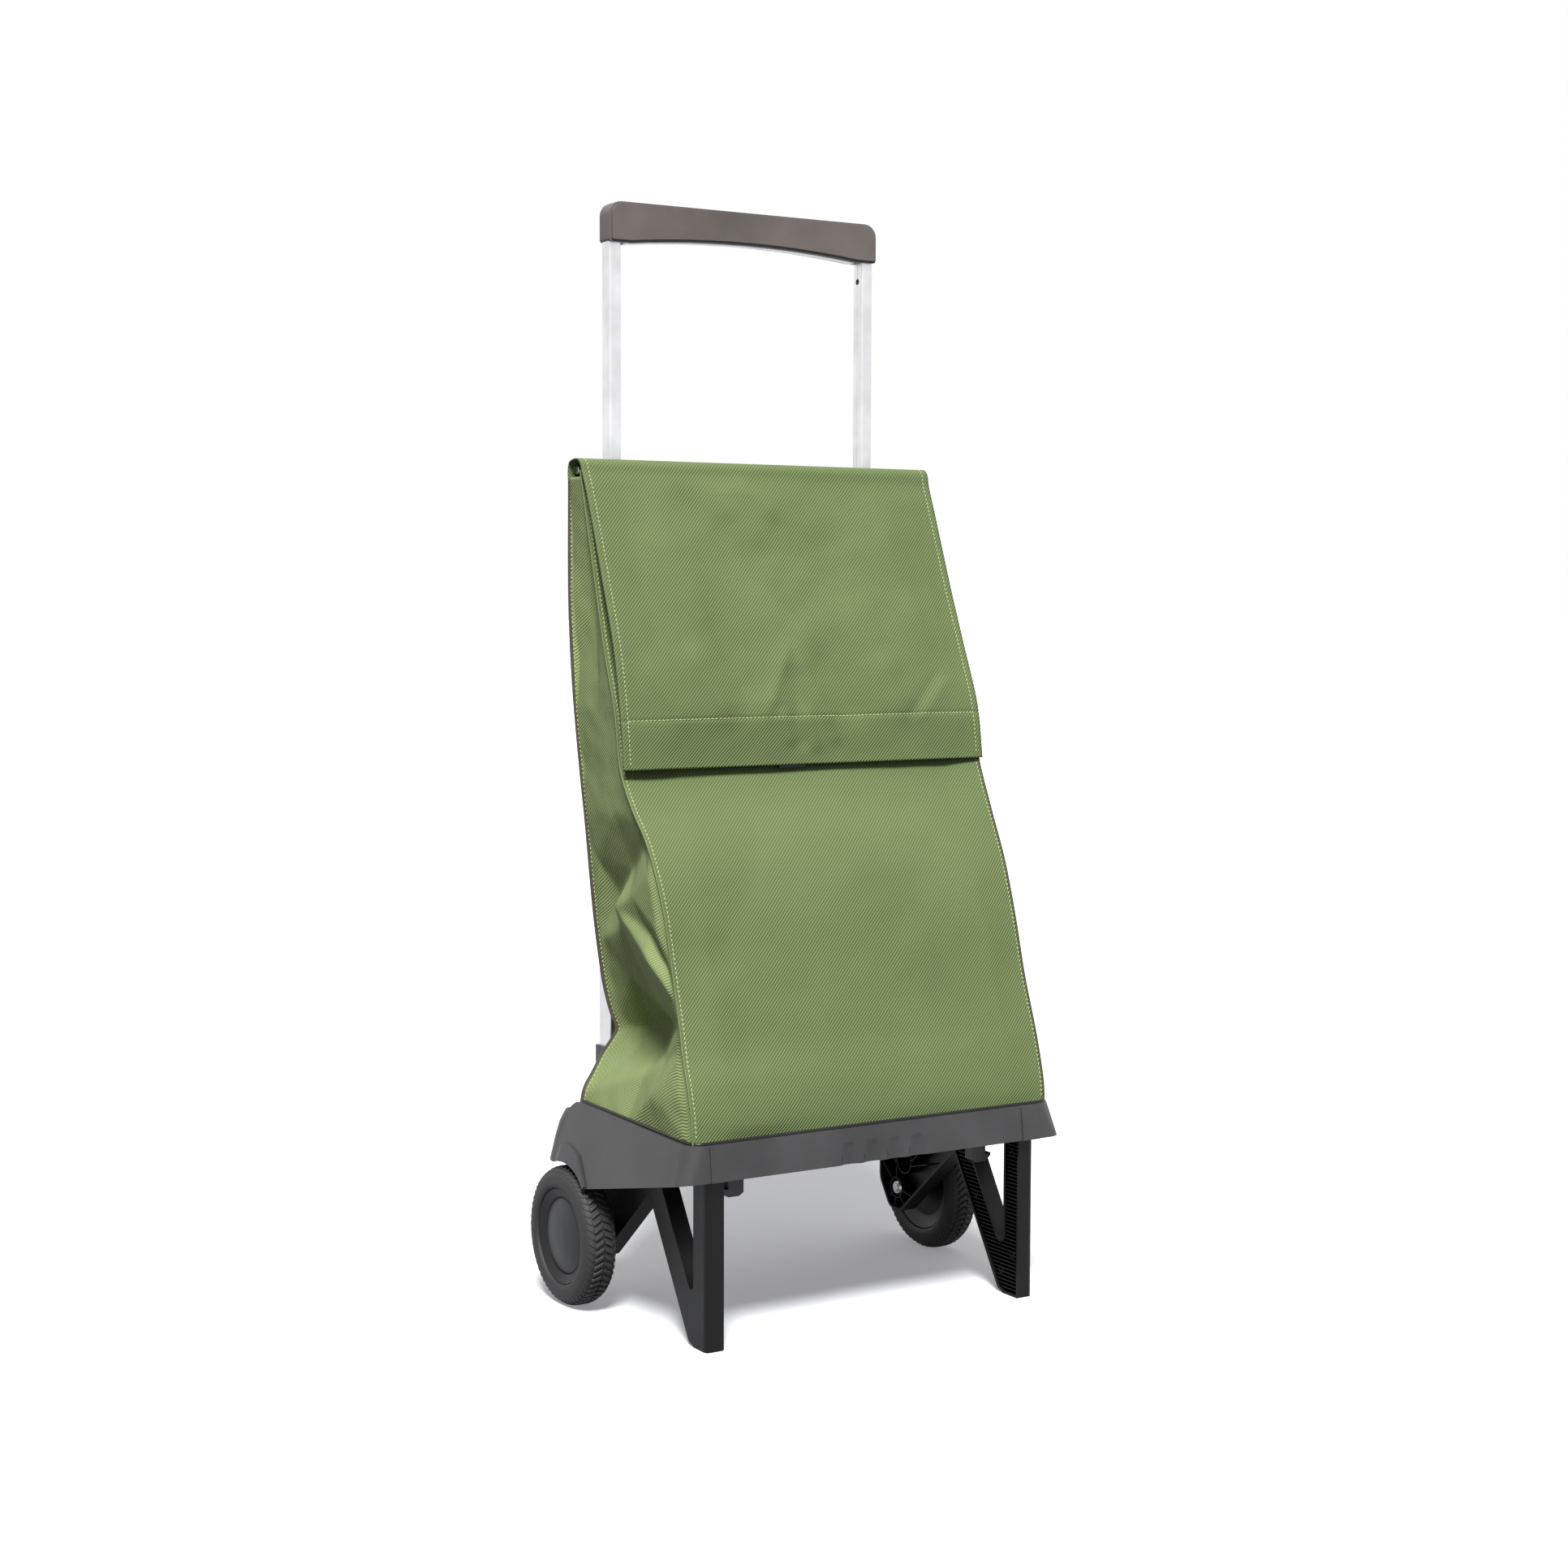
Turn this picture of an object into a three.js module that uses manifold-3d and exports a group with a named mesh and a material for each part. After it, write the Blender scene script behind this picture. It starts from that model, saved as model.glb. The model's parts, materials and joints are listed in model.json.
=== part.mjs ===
// A folding two-wheeled shopping trolley: a fabric bag with a flap, carried between two upright
// tubes, on a moulded base with two folding leg frames and two wheels.
//
// Millimetres, +Z up, the front of the bag faces -Y and +X is the trolley's left-to-right direction
// as seen from the front. The origin is on the floor, under the middle of the bounding box.
import * as THREE from 'three';
import { mergeVertices } from 'three/addons/utils/BufferGeometryUtils.js';
import Module from 'manifold-3d';

const wasm = await Module();
wasm.setup();

// ---- driving dimensions ---------------------------------------------------------------------

const GAP = 0.3;                       // clearance between pieces that touch
const WALL = 3;                        // thickness of the moulded base

const LEFT = -1;
const RIGHT = 1;

// Base tray.
const RIM_Z = 188;                     // front rim of the tray
const RIM_REAR_Z = 192;
const LIP_Z = 157;                     // lower edge of the front wall
const FLOOR_LOW = 180.3;               // underside of the tray floor
const FLOOR_TOP = 183.5;
const FRONT_Y = -141;
const FRONT_CAVITY_Y = -134.6;
const CORNER = 17;                     // radius of the tray's upright corners

// Wheels.
const WHEEL_Y = 76;
const WHEEL_R = 66;
const WHEEL_X = 207;
const RIM_R = 45;
const AXLE_R = 4;
const AXLE_END = 163.4;                // inner end of the axle, inside the leg frame's pocket
const ARCH_R = 70.5;

// Leg frames.
const LEG_INNER = 163;
const LEG_OUTER = 181;
const LEG_X = (LEG_INNER + LEG_OUTER) / 2;
const LEG_HINGE_Z = 170;
const LEG_TOP_R = (LEG_OUTER - LEG_INNER) / 2;
const LEG_ROD_R = 3;
const POST_FRONT = -132.5;
const POST_REAR = -108.5;
const LEG_REAR = 82;
const LUG_Y = [[-89, -82], [36, 43], [83, 89]];   // the tray's hinge lugs, front to back

// Uprights and handle.
const TUBE_X = 143;
const TUBE_Y = 114.5;
const OUTER_TUBE = { wide: 20, deep: 22, wall: 2, low: 212.3, high: 780 };
const INNER_TUBE = { wide: 13, deep: 16, wall: 1.4, low: 560, high: 1027 };
const COLLAR_TOP = 794;
const LOCK_Z = 786;
const GRIP = { half: 151, low: 1004, high: 1042, arch: 7, front: 100, rear: 126 };
const TRAVEL = 200;                    // how far the handle slides down

// The pin on which the uprights fold down over the base.
const FOLD = { y: 100, z: 202, r: 4, eye: 12 };
const BLOCK_INNER = 131;
const BLOCK_OUTER = 155;

// Bag.
const CLOTH = 1.6;
const BAG_HALF = 194.4;
const FLAP_HALF = 197;
const ROD = { y: 96, z: 788, r: 4 };
const FLAP_FOLD = { y: 88, z: 797 };
const FRONT_PROFILE = [
  [77, 787], [50, 715], [18, 624], [1, 563], [-5, 513], [-33, 465],
  [-58, 424], [-80, 386], [-99, 338], [-106, 300], [-120, 242], [-133, 189.2],
];
const BACK_PROFILE = [[99, 781.5], [99, 560], [84, 192.6]];
const FLAP_PROFILE = [[88, 797.2], [76, 797.2], [66, 771], [45, 715], [11, 624], [-10, 560], [-17, 512]];

// ---- materials ------------------------------------------------------------------------------

const look = (color, roughness, metalness = 0) => ({ color, roughness, metalness });
const FABRIC = look(0x768e58, 0.85);
const BASE_PLASTIC = look(0x55565a, 0.55);
const LEG_PLASTIC = look(0x1e1e1f, 0.5);
const RUBBER = look(0x2e2e2f, 0.8);
const CAP_PLASTIC = look(0x464748, 0.5);
const BLACK_PLASTIC = look(0x161616, 0.45);
const GRIP_PLASTIC = look(0x736c67, 0.6);
const ALUMINIUM = look(0xc9cbcf, 0.3, 1);
const STEEL = look(0xb9bbbd, 0.35, 1);
const BOARD = look(0x3a3a3a, 0.8);

// ---- shape helpers --------------------------------------------------------------------------

const AXES = {
  x: new THREE.Matrix4().makeBasis(
    new THREE.Vector3(0, 1, 0), new THREE.Vector3(0, 0, 1), new THREE.Vector3(1, 0, 0)),
  y: new THREE.Matrix4().makeBasis(
    new THREE.Vector3(1, 0, 0), new THREE.Vector3(0, 0, 1), new THREE.Vector3(0, -1, 0)),
  z: new THREE.Matrix4(),
};

// Shared vertices merged, collapsed triangles dropped and faces turned outwards.
function clean(geometry) {
  const bare = new THREE.BufferGeometry();
  bare.setAttribute('position', geometry.getAttribute('position').clone());
  if (geometry.index) bare.setIndex(geometry.index.clone());
  const merged = mergeVertices(bare, 1e-4);
  const index = merged.index.array;
  const position = merged.getAttribute('position');
  const kept = [];
  const corner = [new THREE.Vector3(), new THREE.Vector3(), new THREE.Vector3()];
  let volume = 0;
  for (let i = 0; i < index.length; i += 3) {
    const [a, b, c] = [index[i], index[i + 1], index[i + 2]];
    if (a === b || b === c || c === a) continue;
    kept.push(a, b, c);
    [a, b, c].forEach((vertex, n) => corner[n].fromBufferAttribute(position, vertex));
    volume += corner[0].dot(corner[1].clone().cross(corner[2]));
  }
  if (volume < 0) {
    for (let i = 0; i < kept.length; i += 3) [kept[i], kept[i + 1]] = [kept[i + 1], kept[i]];
  }
  merged.setIndex(kept);
  return merged;
}

function solid(geometry) {
  const merged = clean(geometry);
  return new wasm.Manifold(new wasm.Mesh({
    numProp: 3,
    vertProperties: new Float32Array(merged.getAttribute('position').array),
    triVerts: new Uint32Array(merged.index.array),
  }));
}

const join = (...solids) => solids.reduce((whole, piece) => whole.add(piece));
const cut = (body, ...tools) => tools.reduce((whole, tool) => whole.subtract(tool), body);

// An outline pushed out along an axis. Outlines are [y, z] along x, [x, z] along y, [x, y] along z.
function prism(axis, outline, from, to) {
  const low = Math.min(from, to);
  const high = Math.max(from, to);
  const shape = new THREE.Shape(outline.map(([a, b]) => new THREE.Vector2(a, b)));
  const geometry = new THREE.ExtrudeGeometry(shape, { depth: high - low, bevelEnabled: false });
  geometry.applyMatrix4(AXES[axis]);
  if (axis === 'x') geometry.translate(low, 0, 0);
  if (axis === 'y') geometry.translate(0, high, 0);
  if (axis === 'z') geometry.translate(0, 0, low);
  return solid(geometry);
}

function block(x, y, z) {
  const geometry = new THREE.BoxGeometry(Math.abs(x[1] - x[0]), y[1] - y[0], z[1] - z[0]);
  geometry.translate((x[0] + x[1]) / 2, (y[0] + y[1]) / 2, (z[0] + z[1]) / 2);
  return solid(geometry);
}

// A cylinder between two points.
function rod(start, end, radius, segments = 20) {
  const a = new THREE.Vector3(...start);
  const b = new THREE.Vector3(...end);
  const along = b.clone().sub(a);
  const geometry = new THREE.CylinderGeometry(radius, radius, along.length(), segments);
  const turn = new THREE.Quaternion().setFromUnitVectors(new THREE.Vector3(0, 1, 0), along.normalize());
  geometry.applyQuaternion(turn);
  geometry.translate((a.x + b.x) / 2, (a.y + b.y) / 2, (a.z + b.z) / 2);
  return solid(geometry);
}

// A shape turned about a line along X through (y, z). The profile is [radius, x].
function turned(profile, y, z, side = RIGHT, segments = 40) {
  const points = profile.map(([radius, x]) => new THREE.Vector2(radius, x));
  const geometry = new THREE.LatheGeometry(points, segments);
  geometry.rotateZ(-Math.PI / 2);
  if (side === LEFT) geometry.scale(-1, 1, 1);
  geometry.translate(0, y, z);
  return solid(geometry);
}

// Corners are [a, b] or [a, b, radius]; a corner with a radius becomes an arc.
function rounded(corners, steps = 4) {
  const outline = [];
  corners.forEach(([a, b, radius = 0], n) => {
    if (!radius) {
      outline.push([a, b]);
      return;
    }
    const here = new THREE.Vector2(a, b);
    const before = new THREE.Vector2(...corners.at(n - 1)).sub(here).normalize();
    const after = new THREE.Vector2(...corners[(n + 1) % corners.length]).sub(here).normalize();
    const half = Math.acos(THREE.MathUtils.clamp(before.dot(after), -1, 1)) / 2;
    const centre = here.clone().add(before.clone().add(after).normalize().multiplyScalar(radius / Math.sin(half)));
    const start = here.clone().add(before.multiplyScalar(radius / Math.tan(half))).sub(centre);
    const end = here.clone().add(after.multiplyScalar(radius / Math.tan(half))).sub(centre);
    const sweep = Math.atan2(start.cross(end), start.dot(end));
    for (let i = 0; i <= steps; i += 1) {
      const point = start.clone().rotateAround(new THREE.Vector2(), (sweep * i) / steps).add(centre);
      outline.push([point.x, point.y]);
    }
  });
  return outline;
}

// Corners moved sideways by a distance, with their radii: positive shrinks, negative grows.
function inset(outline, distance) {
  const area = outline.reduce((sum, [a, b], n) => {
    const [c, d] = outline[(n + 1) % outline.length];
    return sum + a * d - b * c;
  }, 0);
  const inward = Math.sign(area) * distance;
  return outline.map(([a, b, radius = 0], n) => {
    const here = new THREE.Vector2(a, b);
    const entering = here.clone().sub(new THREE.Vector2(...outline.at(n - 1))).normalize();
    const leaving = new THREE.Vector2(...outline[(n + 1) % outline.length]).sub(here).normalize();
    const normal = new THREE.Vector2(-entering.y - leaving.y, entering.x + leaving.x).normalize();
    const across = new THREE.Vector2(-entering.y, entering.x);
    const moved = here.add(normal.multiplyScalar(inward / normal.dot(across)));
    return [moved.x, moved.y, radius && Math.max(0, radius - distance)];
  });
}

// A strip of constant thickness that follows a profile, its outer face on the profile.
function strip(profile, thickness, half) {
  const back = inset([...profile, [profile.at(-1)[0] + 400, profile.at(-1)[1]], [profile[0][0] + 400, profile[0][1]]],
    thickness).slice(0, profile.length);
  back[0][1] = profile[0][1];
  back[back.length - 1][1] = profile.at(-1)[1];
  return prism('x', [...profile, ...back.reverse()], -half, half);
}

// Stacked rings [z, halfWidth, frontY, rearY] of one rounded rectangle, closed at both ends.
function stack(rings, corner) {
  const outlines = rings.map(([z, half, front, rear]) => rounded([
    [-half, front, corner], [half, front, corner], [half, rear, corner], [-half, rear, corner],
  ], 6).map(([x, y]) => [x, y, z]));
  const count = outlines[0].length;
  const middle = (ring) => [0, (ring[2] + ring[3]) / 2, ring[0]];
  const vertices = [...outlines.flat(), middle(rings[0]), middle(rings.at(-1))];
  const bottom = vertices.length - 2;
  const top = vertices.length - 1;
  const index = [];
  for (let i = 0; i < count; i += 1) {
    const next = (i + 1) % count;
    for (let level = 0; level < rings.length - 1; level += 1) {
      const low = level * count;
      const high = low + count;
      index.push(low + i, low + next, high + next, low + i, high + next, high + i);
    }
    const last = (rings.length - 1) * count;
    index.push(bottom, next, i, top, last + i, last + next);
  }
  const geometry = new THREE.BufferGeometry();
  geometry.setAttribute('position', new THREE.Float32BufferAttribute(vertices.flat(), 3));
  geometry.setIndex(index);
  return solid(geometry);
}

const ringPoints = (y, z, radius, from, to, steps) => Array.from({ length: steps + 1 }, (_, i) => {
  const angle = THREE.MathUtils.degToRad(from + ((to - from) * i) / steps);
  return [y + radius * Math.cos(angle), z + radius * Math.sin(angle)];
});

// ---- scene graph ----------------------------------------------------------------------------

const trolley = new THREE.Group();

function piece(name, body, appearance) {
  const result = body.getMesh();
  const geometry = new THREE.BufferGeometry();
  geometry.setAttribute('position', new THREE.BufferAttribute(new Float32Array(result.vertProperties), 3));
  geometry.setIndex(new THREE.BufferAttribute(new Uint32Array(result.triVerts), 1));
  geometry.computeVertexNormals();
  const mesh = new THREE.Mesh(geometry, new THREE.MeshStandardMaterial(appearance));
  mesh.name = name;
  trolley.add(mesh);
}

const sideName = (side) => (side === LEFT ? 'left' : 'right');

// ---- base tray ------------------------------------------------------------------------------

// Rings of the tray's outside, grown by an amount all round.
const trayRings = (grow) => [
  [112, 214.6, FRONT_Y, 106], [135, 209.8, FRONT_Y, 104], [150, 206.6, FRONT_Y, 101.5],
  [LIP_Z, 205, FRONT_Y, 101], [170, 202.2, -139.6, 98], [180, 200, -138.4, 94.5],
  [196, 196.5, -136.6, 91],
].map(([z, half, front, rear]) => [z, half + grow, front - grow, rear + grow]);

const ARCH_FRONT = 130;                // angles where the wheel arch meets the skirt, in degrees
const ARCH_REAR = 70;
const archLine = ringPoints(WHEEL_Y, WHEEL_R, ARCH_R, ARCH_FRONT, ARCH_REAR, 10);

// Everything below the front lip, the side skirts and the wheel arches.
function underTray() {
  return prism('x', [
    [-170, 100], [-170, LIP_Z], [-138, LIP_Z - 2], ...archLine, [130, 134], [130, 100],
  ], -240, 240);
}

// The flared band round each wheel arch.
function archBand() {
  const inner = ringPoints(WHEEL_Y, WHEEL_R, ARCH_R, ARCH_FRONT, ARCH_REAR, 10);
  const outline = [...inner, [100.5, 133.5], [97, 146], [77, 155], [53, 148], [41, 136], [29.5, 122.5]];
  const band = stack(trayRings(2.6), CORNER + 2.6).intersect(prism('x', outline, -240, 240));
  return cut(band, block([-186, 186], [0, 140], [100, 200]));
}

// A hollow horn at each rear corner, above the wheel: it stands out behind the tray's rear wall.
const HORN_INNER = 184.5;
const HORN_RINGS = [[112, 14], [135, 16], [150, 17], [LIP_Z, 17], [170, 18], [180, 18], [186, 15], [190, 9], [196, 0]];
const ringAt = (rings, z, k) => {
  const upper = rings.findIndex((ring) => ring[0] >= z);
  const [low, high] = [rings[Math.max(upper - 1, 0)], rings[upper]];
  const share = high[0] === low[0] ? 0 : (z - low[0]) / (high[0] - low[0]);
  return low[k] + (high[k] - low[k]) * share;
};

function horns(shrink, top) {
  const outside = trayRings(0);
  const rings = HORN_RINGS.filter(([z]) => z <= top).map(([z, reach]) => [
    z, ringAt(outside, z, 1) - shrink, FRONT_Y + 20, ringAt(outside, z, 3) + reach - shrink,
  ]);
  const whole = stack(rings, CORNER - shrink);
  return cut(whole, block([-HORN_INNER - shrink, HORN_INNER + shrink], [-200, 200], [100, 220]),
    block([-240, 240], [-200, 60], [100, 220]));
}

// Slightly raised upright bands on the front wall, near its corners.
function frontBand(side) {
  const span = block([side * 161, side * 181].sort((a, b) => a - b), [-150, -130], [LIP_Z - 2, RIM_Z - 2]);
  return stack(trayRings(1.1), CORNER + 1.1).intersect(span);
}

// Finger scallops along the lower front edge.
function scallop(x) {
  const radius = 15;
  const centre = FRONT_Y - radius + 3.8;
  const ball = new THREE.SphereGeometry(radius, 20, 12);
  ball.rotateX(Math.PI / 2);
  ball.scale(1, 1, 1.25);
  ball.translate(x, centre, LIP_Z + 12);
  return join(rod([x, centre, LIP_Z - 5], [x, centre, LIP_Z + 12], radius), solid(ball));
}

// Lugs under the floor that carry a leg frame's hinge rod.
function legLug(side, [front, rear]) {
  const plate = block([side * LEG_X - 6, side * LEG_X + 6], [front, rear], [LEG_HINGE_Z - 8, FLOOR_LOW + 1]);
  return cut(plate, rod([side * LEG_X, front - 1, LEG_HINGE_Z], [side * LEG_X, rear + 1, LEG_HINGE_Z],
    LEG_ROD_R + GAP, 16));
}

// A snap hook under the floor: the folded leg frame clips over its toe.
function snapHook(side) {
  const outline = [
    [side * 127, FLOOR_LOW + 1], [side * 127, 134], [side * 132, 131], [side * 143, 131],
    [side * 149, 136.5], [side * 149, 139], [side * 143, 138], [side * 143, FLOOR_LOW + 1],
  ];
  const hook = prism('y', outline, -106, -95);
  const slot = block([side * 130, side * 140].sort((a, b) => a - b), [-103.5, -94], [134, FLOOR_LOW]);
  return cut(hook, slot);
}

// A pair of upright lugs at the rear edge that hold one fold pin.
function foldLugs(side) {
  const outline = rounded([
    [81, FLOOR_LOW], [93, FLOOR_LOW], [109, 196, 8], [109, 211, 8], [91, 211, 8], [91, 192], [81, 186],
  ]);
  const plates = [[123, 130.4], [155.6, 163]].map(([inner, outer]) => (
    prism('x', outline, side * inner, side * outer)));
  const bore = rod([side * 120, FOLD.y, FOLD.z], [side * 166, FOLD.y, FOLD.z], FOLD.r + GAP);
  return cut(join(...plates), bore);
}

function baseTray() {
  const cavity = stack([
    [100, 211, FRONT_CAVITY_Y, 101], [150, 203.4, FRONT_CAVITY_Y, 98.5], [FLOOR_LOW, 197, FRONT_CAVITY_Y, 91.5],
  ], CORNER - WALL);
  const recess = stack([
    [FLOOR_TOP, 196.2, -135.6, 90], [200, 193.4, -134.2, 87],
  ], CORNER - WALL);
  const aboveRim = prism('x', [
    [-170, RIM_Z], [-136, RIM_Z], [76, RIM_REAR_Z], [84, 191], [89, 188], [92.6, 184], [130, 178],
    [130, 220], [-170, 220],
  ], -240, 240);
  const rearOpening = block([-184.5, 184.5], [70, 130], [100, FLOOR_LOW - 0.1]);
  const blockRoom = (side) => block([side * (BLOCK_INNER - 1), side * (BLOCK_OUTER + 1)].sort((a, b) => a - b),
    [80, 130], [FLOOR_TOP - 0.2, 220]);
  const shell = cut(
    join(stack(trayRings(0), CORNER), horns(0, 196), archBand(), frontBand(LEFT), frontBand(RIGHT)),
    horns(WALL, 180), cavity, recess, underTray(), rearOpening, aboveRim, blockRoom(LEFT), blockRoom(RIGHT),
  );
  const fittings = [LEFT, RIGHT].flatMap((side) => [
    ...LUG_Y.map((span) => legLug(side, span)), snapHook(side), foldLugs(side),
  ]);
  return cut(join(shell, ...fittings), ...[-35, -10, 15, 39.5].map(scallop));
}

piece('base_tray', baseTray(), BASE_PLASTIC);
piece('bag_board', block([-191, 191], [-130, 80], [FLOOR_TOP + GAP, 186.6]), BOARD);

// ---- leg frames and wheels ------------------------------------------------------------------

const STRUT_APEX = [-27, 123];
const legCorners = [
  [POST_FRONT, 0, 2], [-110, 0], [-100, 4, 3], [...STRUT_APEX, 3], [66, 43.5, 8], [86, 43.5, 14],
  [104.5, 72, 20], [104.5, 130], [97, 150], [LEG_REAR, 160],
  [LEG_REAR, LEG_HINGE_Z + LEG_TOP_R], [POST_FRONT, LEG_HINGE_Z + LEG_TOP_R],
];
const windowCorners = [[POST_REAR, 39, 5], [-36, 158, 4], [POST_REAR, 158, 4]];
const FLANGE = 2.6;                    // wall round the ribbed pockets
const WEB = 3.5;
const BOSS = { r: 9, from: 167.6 };    // the axle's boss, short enough for the push nut to sit in the pocket

function legFrame(side) {
  const inner = side * LEG_INNER;
  const outer = side * LEG_OUTER;
  const pocketEnd = side * (LEG_OUTER - WEB);
  const plate = cut(prism('x', rounded(legCorners), inner, outer), prism('x', rounded(windowCorners), side * 150, side * 200));
  const boss = rod([side * BOSS.from, WHEEL_Y, WHEEL_R], [outer, WHEEL_Y, WHEEL_R], BOSS.r);
  const pocket = cut(
    prism('x', rounded(inset(legCorners, FLANGE)), inner - side, pocketEnd),
    prism('x', rounded(inset(windowCorners, -FLANGE)), inner - side * 2, outer),
    boss,
    block([-200, 200], [-140, 110], [157, 190]),
  );
  // The front outer edge of the post is round, and so is the top, about the hinge rod.
  const plan = rounded([[inner, POST_FRONT], [inner, 130], [outer + side * 8, 130], [outer + side * 8, -100],
    [outer, -100], [outer, POST_FRONT, 6]]);
  const end = [
    [inner, -5], [inner, LEG_HINGE_Z],
    ...ringPoints(side * LEG_X, LEG_HINGE_Z, LEG_TOP_R, side === RIGHT ? 180 : 0, side === RIGHT ? 0 : 180, 12).slice(1, -1),
    [outer, LEG_HINGE_Z], [outer + side * 8, LEG_HINGE_Z - 10], [outer + side * 8, -5],
  ];
  const body = cut(plate, pocket)
    .intersect(prism('z', plan, -5, 200))
    .intersect(prism('y', end, -150, 120));
  const lugRoom = LUG_Y.slice(0, 2).map(([front, rear]) => (
    block([side * LEG_X - 14, side * LEG_X + 14], [front - 1, rear + 1], [LEG_HINGE_Z - 12, 190])));
  return cut(
    body,
    ...lugRoom,
    rod([side * LEG_X, -129, LEG_HINGE_Z], [side * LEG_X, 120, LEG_HINGE_Z], LEG_ROD_R + GAP, 16),
    rod([inner - side * 5, WHEEL_Y, WHEEL_R], [outer + side * 5, WHEEL_Y, WHEEL_R], AXLE_R + GAP),
  );
}

const TYRE_PROFILE = [
  [45.3, -13], [46.5, -15.6], [50, -16.5], [57, -16], [63, -12.8], [65.6, -8], [WHEEL_R, 0],
  [65.6, 8], [63, 12.8], [57, 16], [50, 16.5], [46.5, 15.6], [45.3, 13], [45.3, -13],
];
const RIM_PROFILE = [
  [AXLE_R + GAP, -15.5], [9, -15.5], [11, -9], [33, -6.5], [36.5, -9.5], [RIM_R, -13.5], [RIM_R, 13.5],
  [36.3, 9.2], [36.3, 4.8], [12, 4], [11, 8], [AXLE_R + GAP, 8], [AXLE_R + GAP, -15.5],
];
const CAP_PROFILE = [
  [0, 15.6], [14, 14.9], [26, 12.8], [33, 10.6], [36, 9], [36, 5.4], [33.4, 5.4], [33.4, 8],
  [25, 10.4], [13, 12.4], [0, 13],
];
const offset = (profile, x) => profile.map(([radius, along]) => [radius, along + x]);

function wheel(side) {
  const name = sideName(side);
  piece(`${name}_tyre`, turned(offset(TYRE_PROFILE, WHEEL_X), WHEEL_Y, WHEEL_R, side), RUBBER);
  piece(`${name}_wheel_rim`, turned(offset(RIM_PROFILE, WHEEL_X), WHEEL_Y, WHEEL_R, side), BLACK_PLASTIC);
  piece(`${name}_hub_cap`, turned(offset(CAP_PROFILE, WHEEL_X), WHEEL_Y, WHEEL_R, side, 32), CAP_PLASTIC);
}

function leg(side) {
  const name = sideName(side);
  piece(`${name}_leg_frame`, legFrame(side), LEG_PLASTIC);
  piece(`${name}_leg_rod`, rod([side * LEG_X, -128, LEG_HINGE_Z], [side * LEG_X, 89, LEG_HINGE_Z], LEG_ROD_R, 16), STEEL);
  const axle = [[0, AXLE_END], [AXLE_R, AXLE_END], [AXLE_R, 215.3], [7, 215.3], [7, 218], [0, 218]];
  piece(`${name}_axle`, turned(axle, WHEEL_Y, WHEEL_R, side, 20), STEEL);
  const nut = [
    [AXLE_R + GAP, AXLE_END + 0.9], [6, AXLE_END + 0.9], [8, BOSS.from - GAP], [AXLE_R + GAP, BOSS.from - GAP],
    [AXLE_R + GAP, AXLE_END + 0.9],
  ];
  piece(`${name}_push_nut`, turned(nut, WHEEL_Y, WHEEL_R, side, 16), STEEL);
  const spacer = [[AXLE_R + GAP, 181.4], [8, 181.4], [8, 191], [AXLE_R + GAP, 191], [AXLE_R + GAP, 181.4]];
  piece(`${name}_wheel_spacer`, turned(spacer, WHEEL_Y, WHEEL_R, side, 16), BLACK_PLASTIC);
}

for (const side of [LEFT, RIGHT]) {
  leg(side);
  wheel(side);
}

// ---- uprights -------------------------------------------------------------------------------

const box2 = (x, y, wide, deep, radius = 0) => rounded([
  [x - wide / 2, y - deep / 2, radius], [x + wide / 2, y - deep / 2, radius],
  [x + wide / 2, y + deep / 2, radius], [x - wide / 2, y + deep / 2, radius],
], 3);

function outerTube(side) {
  const { wide, deep, wall, low, high } = OUTER_TUBE;
  const x = side * TUBE_X;
  return cut(
    prism('z', box2(x, TUBE_Y, wide, deep, 3.5), low, high),
    prism('z', box2(x, TUBE_Y, wide - 2 * wall, deep - 2 * wall, 1.5), low - 1, high + 1),
  );
}

// The moulded foot of an upright: a socket for the tube and an eye for the fold pin.
function hingeBlock(side) {
  const eye = ringPoints(FOLD.y, FOLD.z, FOLD.eye, 100, 270, 8);
  const outline = [...eye, [121, 190], [127.8, 196], [127.8, 236], [101.2, 236], [101.2, 218]];
  const socket = prism('z', box2(side * TUBE_X, TUBE_Y, OUTER_TUBE.wide + 2 * GAP, OUTER_TUBE.deep + 2 * GAP, 3.8),
    OUTER_TUBE.low - GAP, 240);
  const bore = rod([side * 120, FOLD.y, FOLD.z], [side * 166, FOLD.y, FOLD.z], FOLD.r + GAP);
  return cut(prism('x', outline, side * BLOCK_INNER, side * BLOCK_OUTER), socket, bore);
}

// The collar on top of an outer tube: it guides the inner tube and holds the bag's top rod.
function collar(side) {
  const x = side * TUBE_X;
  const body = prism('z', box2(x, TUBE_Y, 25, 27, 5), 770, COLLAR_TOP);
  const arm = block([x - 5, x + 5], [89.6, 102], [782, 794]);
  const outerRoom = prism('z', box2(x, TUBE_Y, OUTER_TUBE.wide + 2 * GAP, OUTER_TUBE.deep + 2 * GAP, 3.8),
    760, OUTER_TUBE.high + GAP);
  const innerRoom = prism('z', box2(x, TUBE_Y, INNER_TUBE.wide + 2 * GAP, INNER_TUBE.deep + 2 * GAP, 2.5), 760, 800);
  const rodRoom = rod([x - 10, ROD.y, ROD.z], [x + 10, ROD.y, ROD.z], ROD.r + GAP);
  const inward = x - side * 20;
  const buttonRoom = rod([x - side * 5, TUBE_Y, LOCK_Z], [inward, TUBE_Y, LOCK_Z], 3.8 + GAP, 16);
  return cut(join(body, arm), outerRoom, innerRoom, rodRoom, buttonRoom);
}

// A sprung button on the collar's inward face that locks the inner tube.
function lockButton(side) {
  const wall = TUBE_X - INNER_TUBE.wide / 2 - GAP - 0.2;
  const profile = [[0, wall], [3.8, wall], [3.8, 130], [6, 130], [6, 128.4], [5, 127.2], [0, 126.8]];
  return turned(profile, TUBE_Y, LOCK_Z, side, 20);
}

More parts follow.
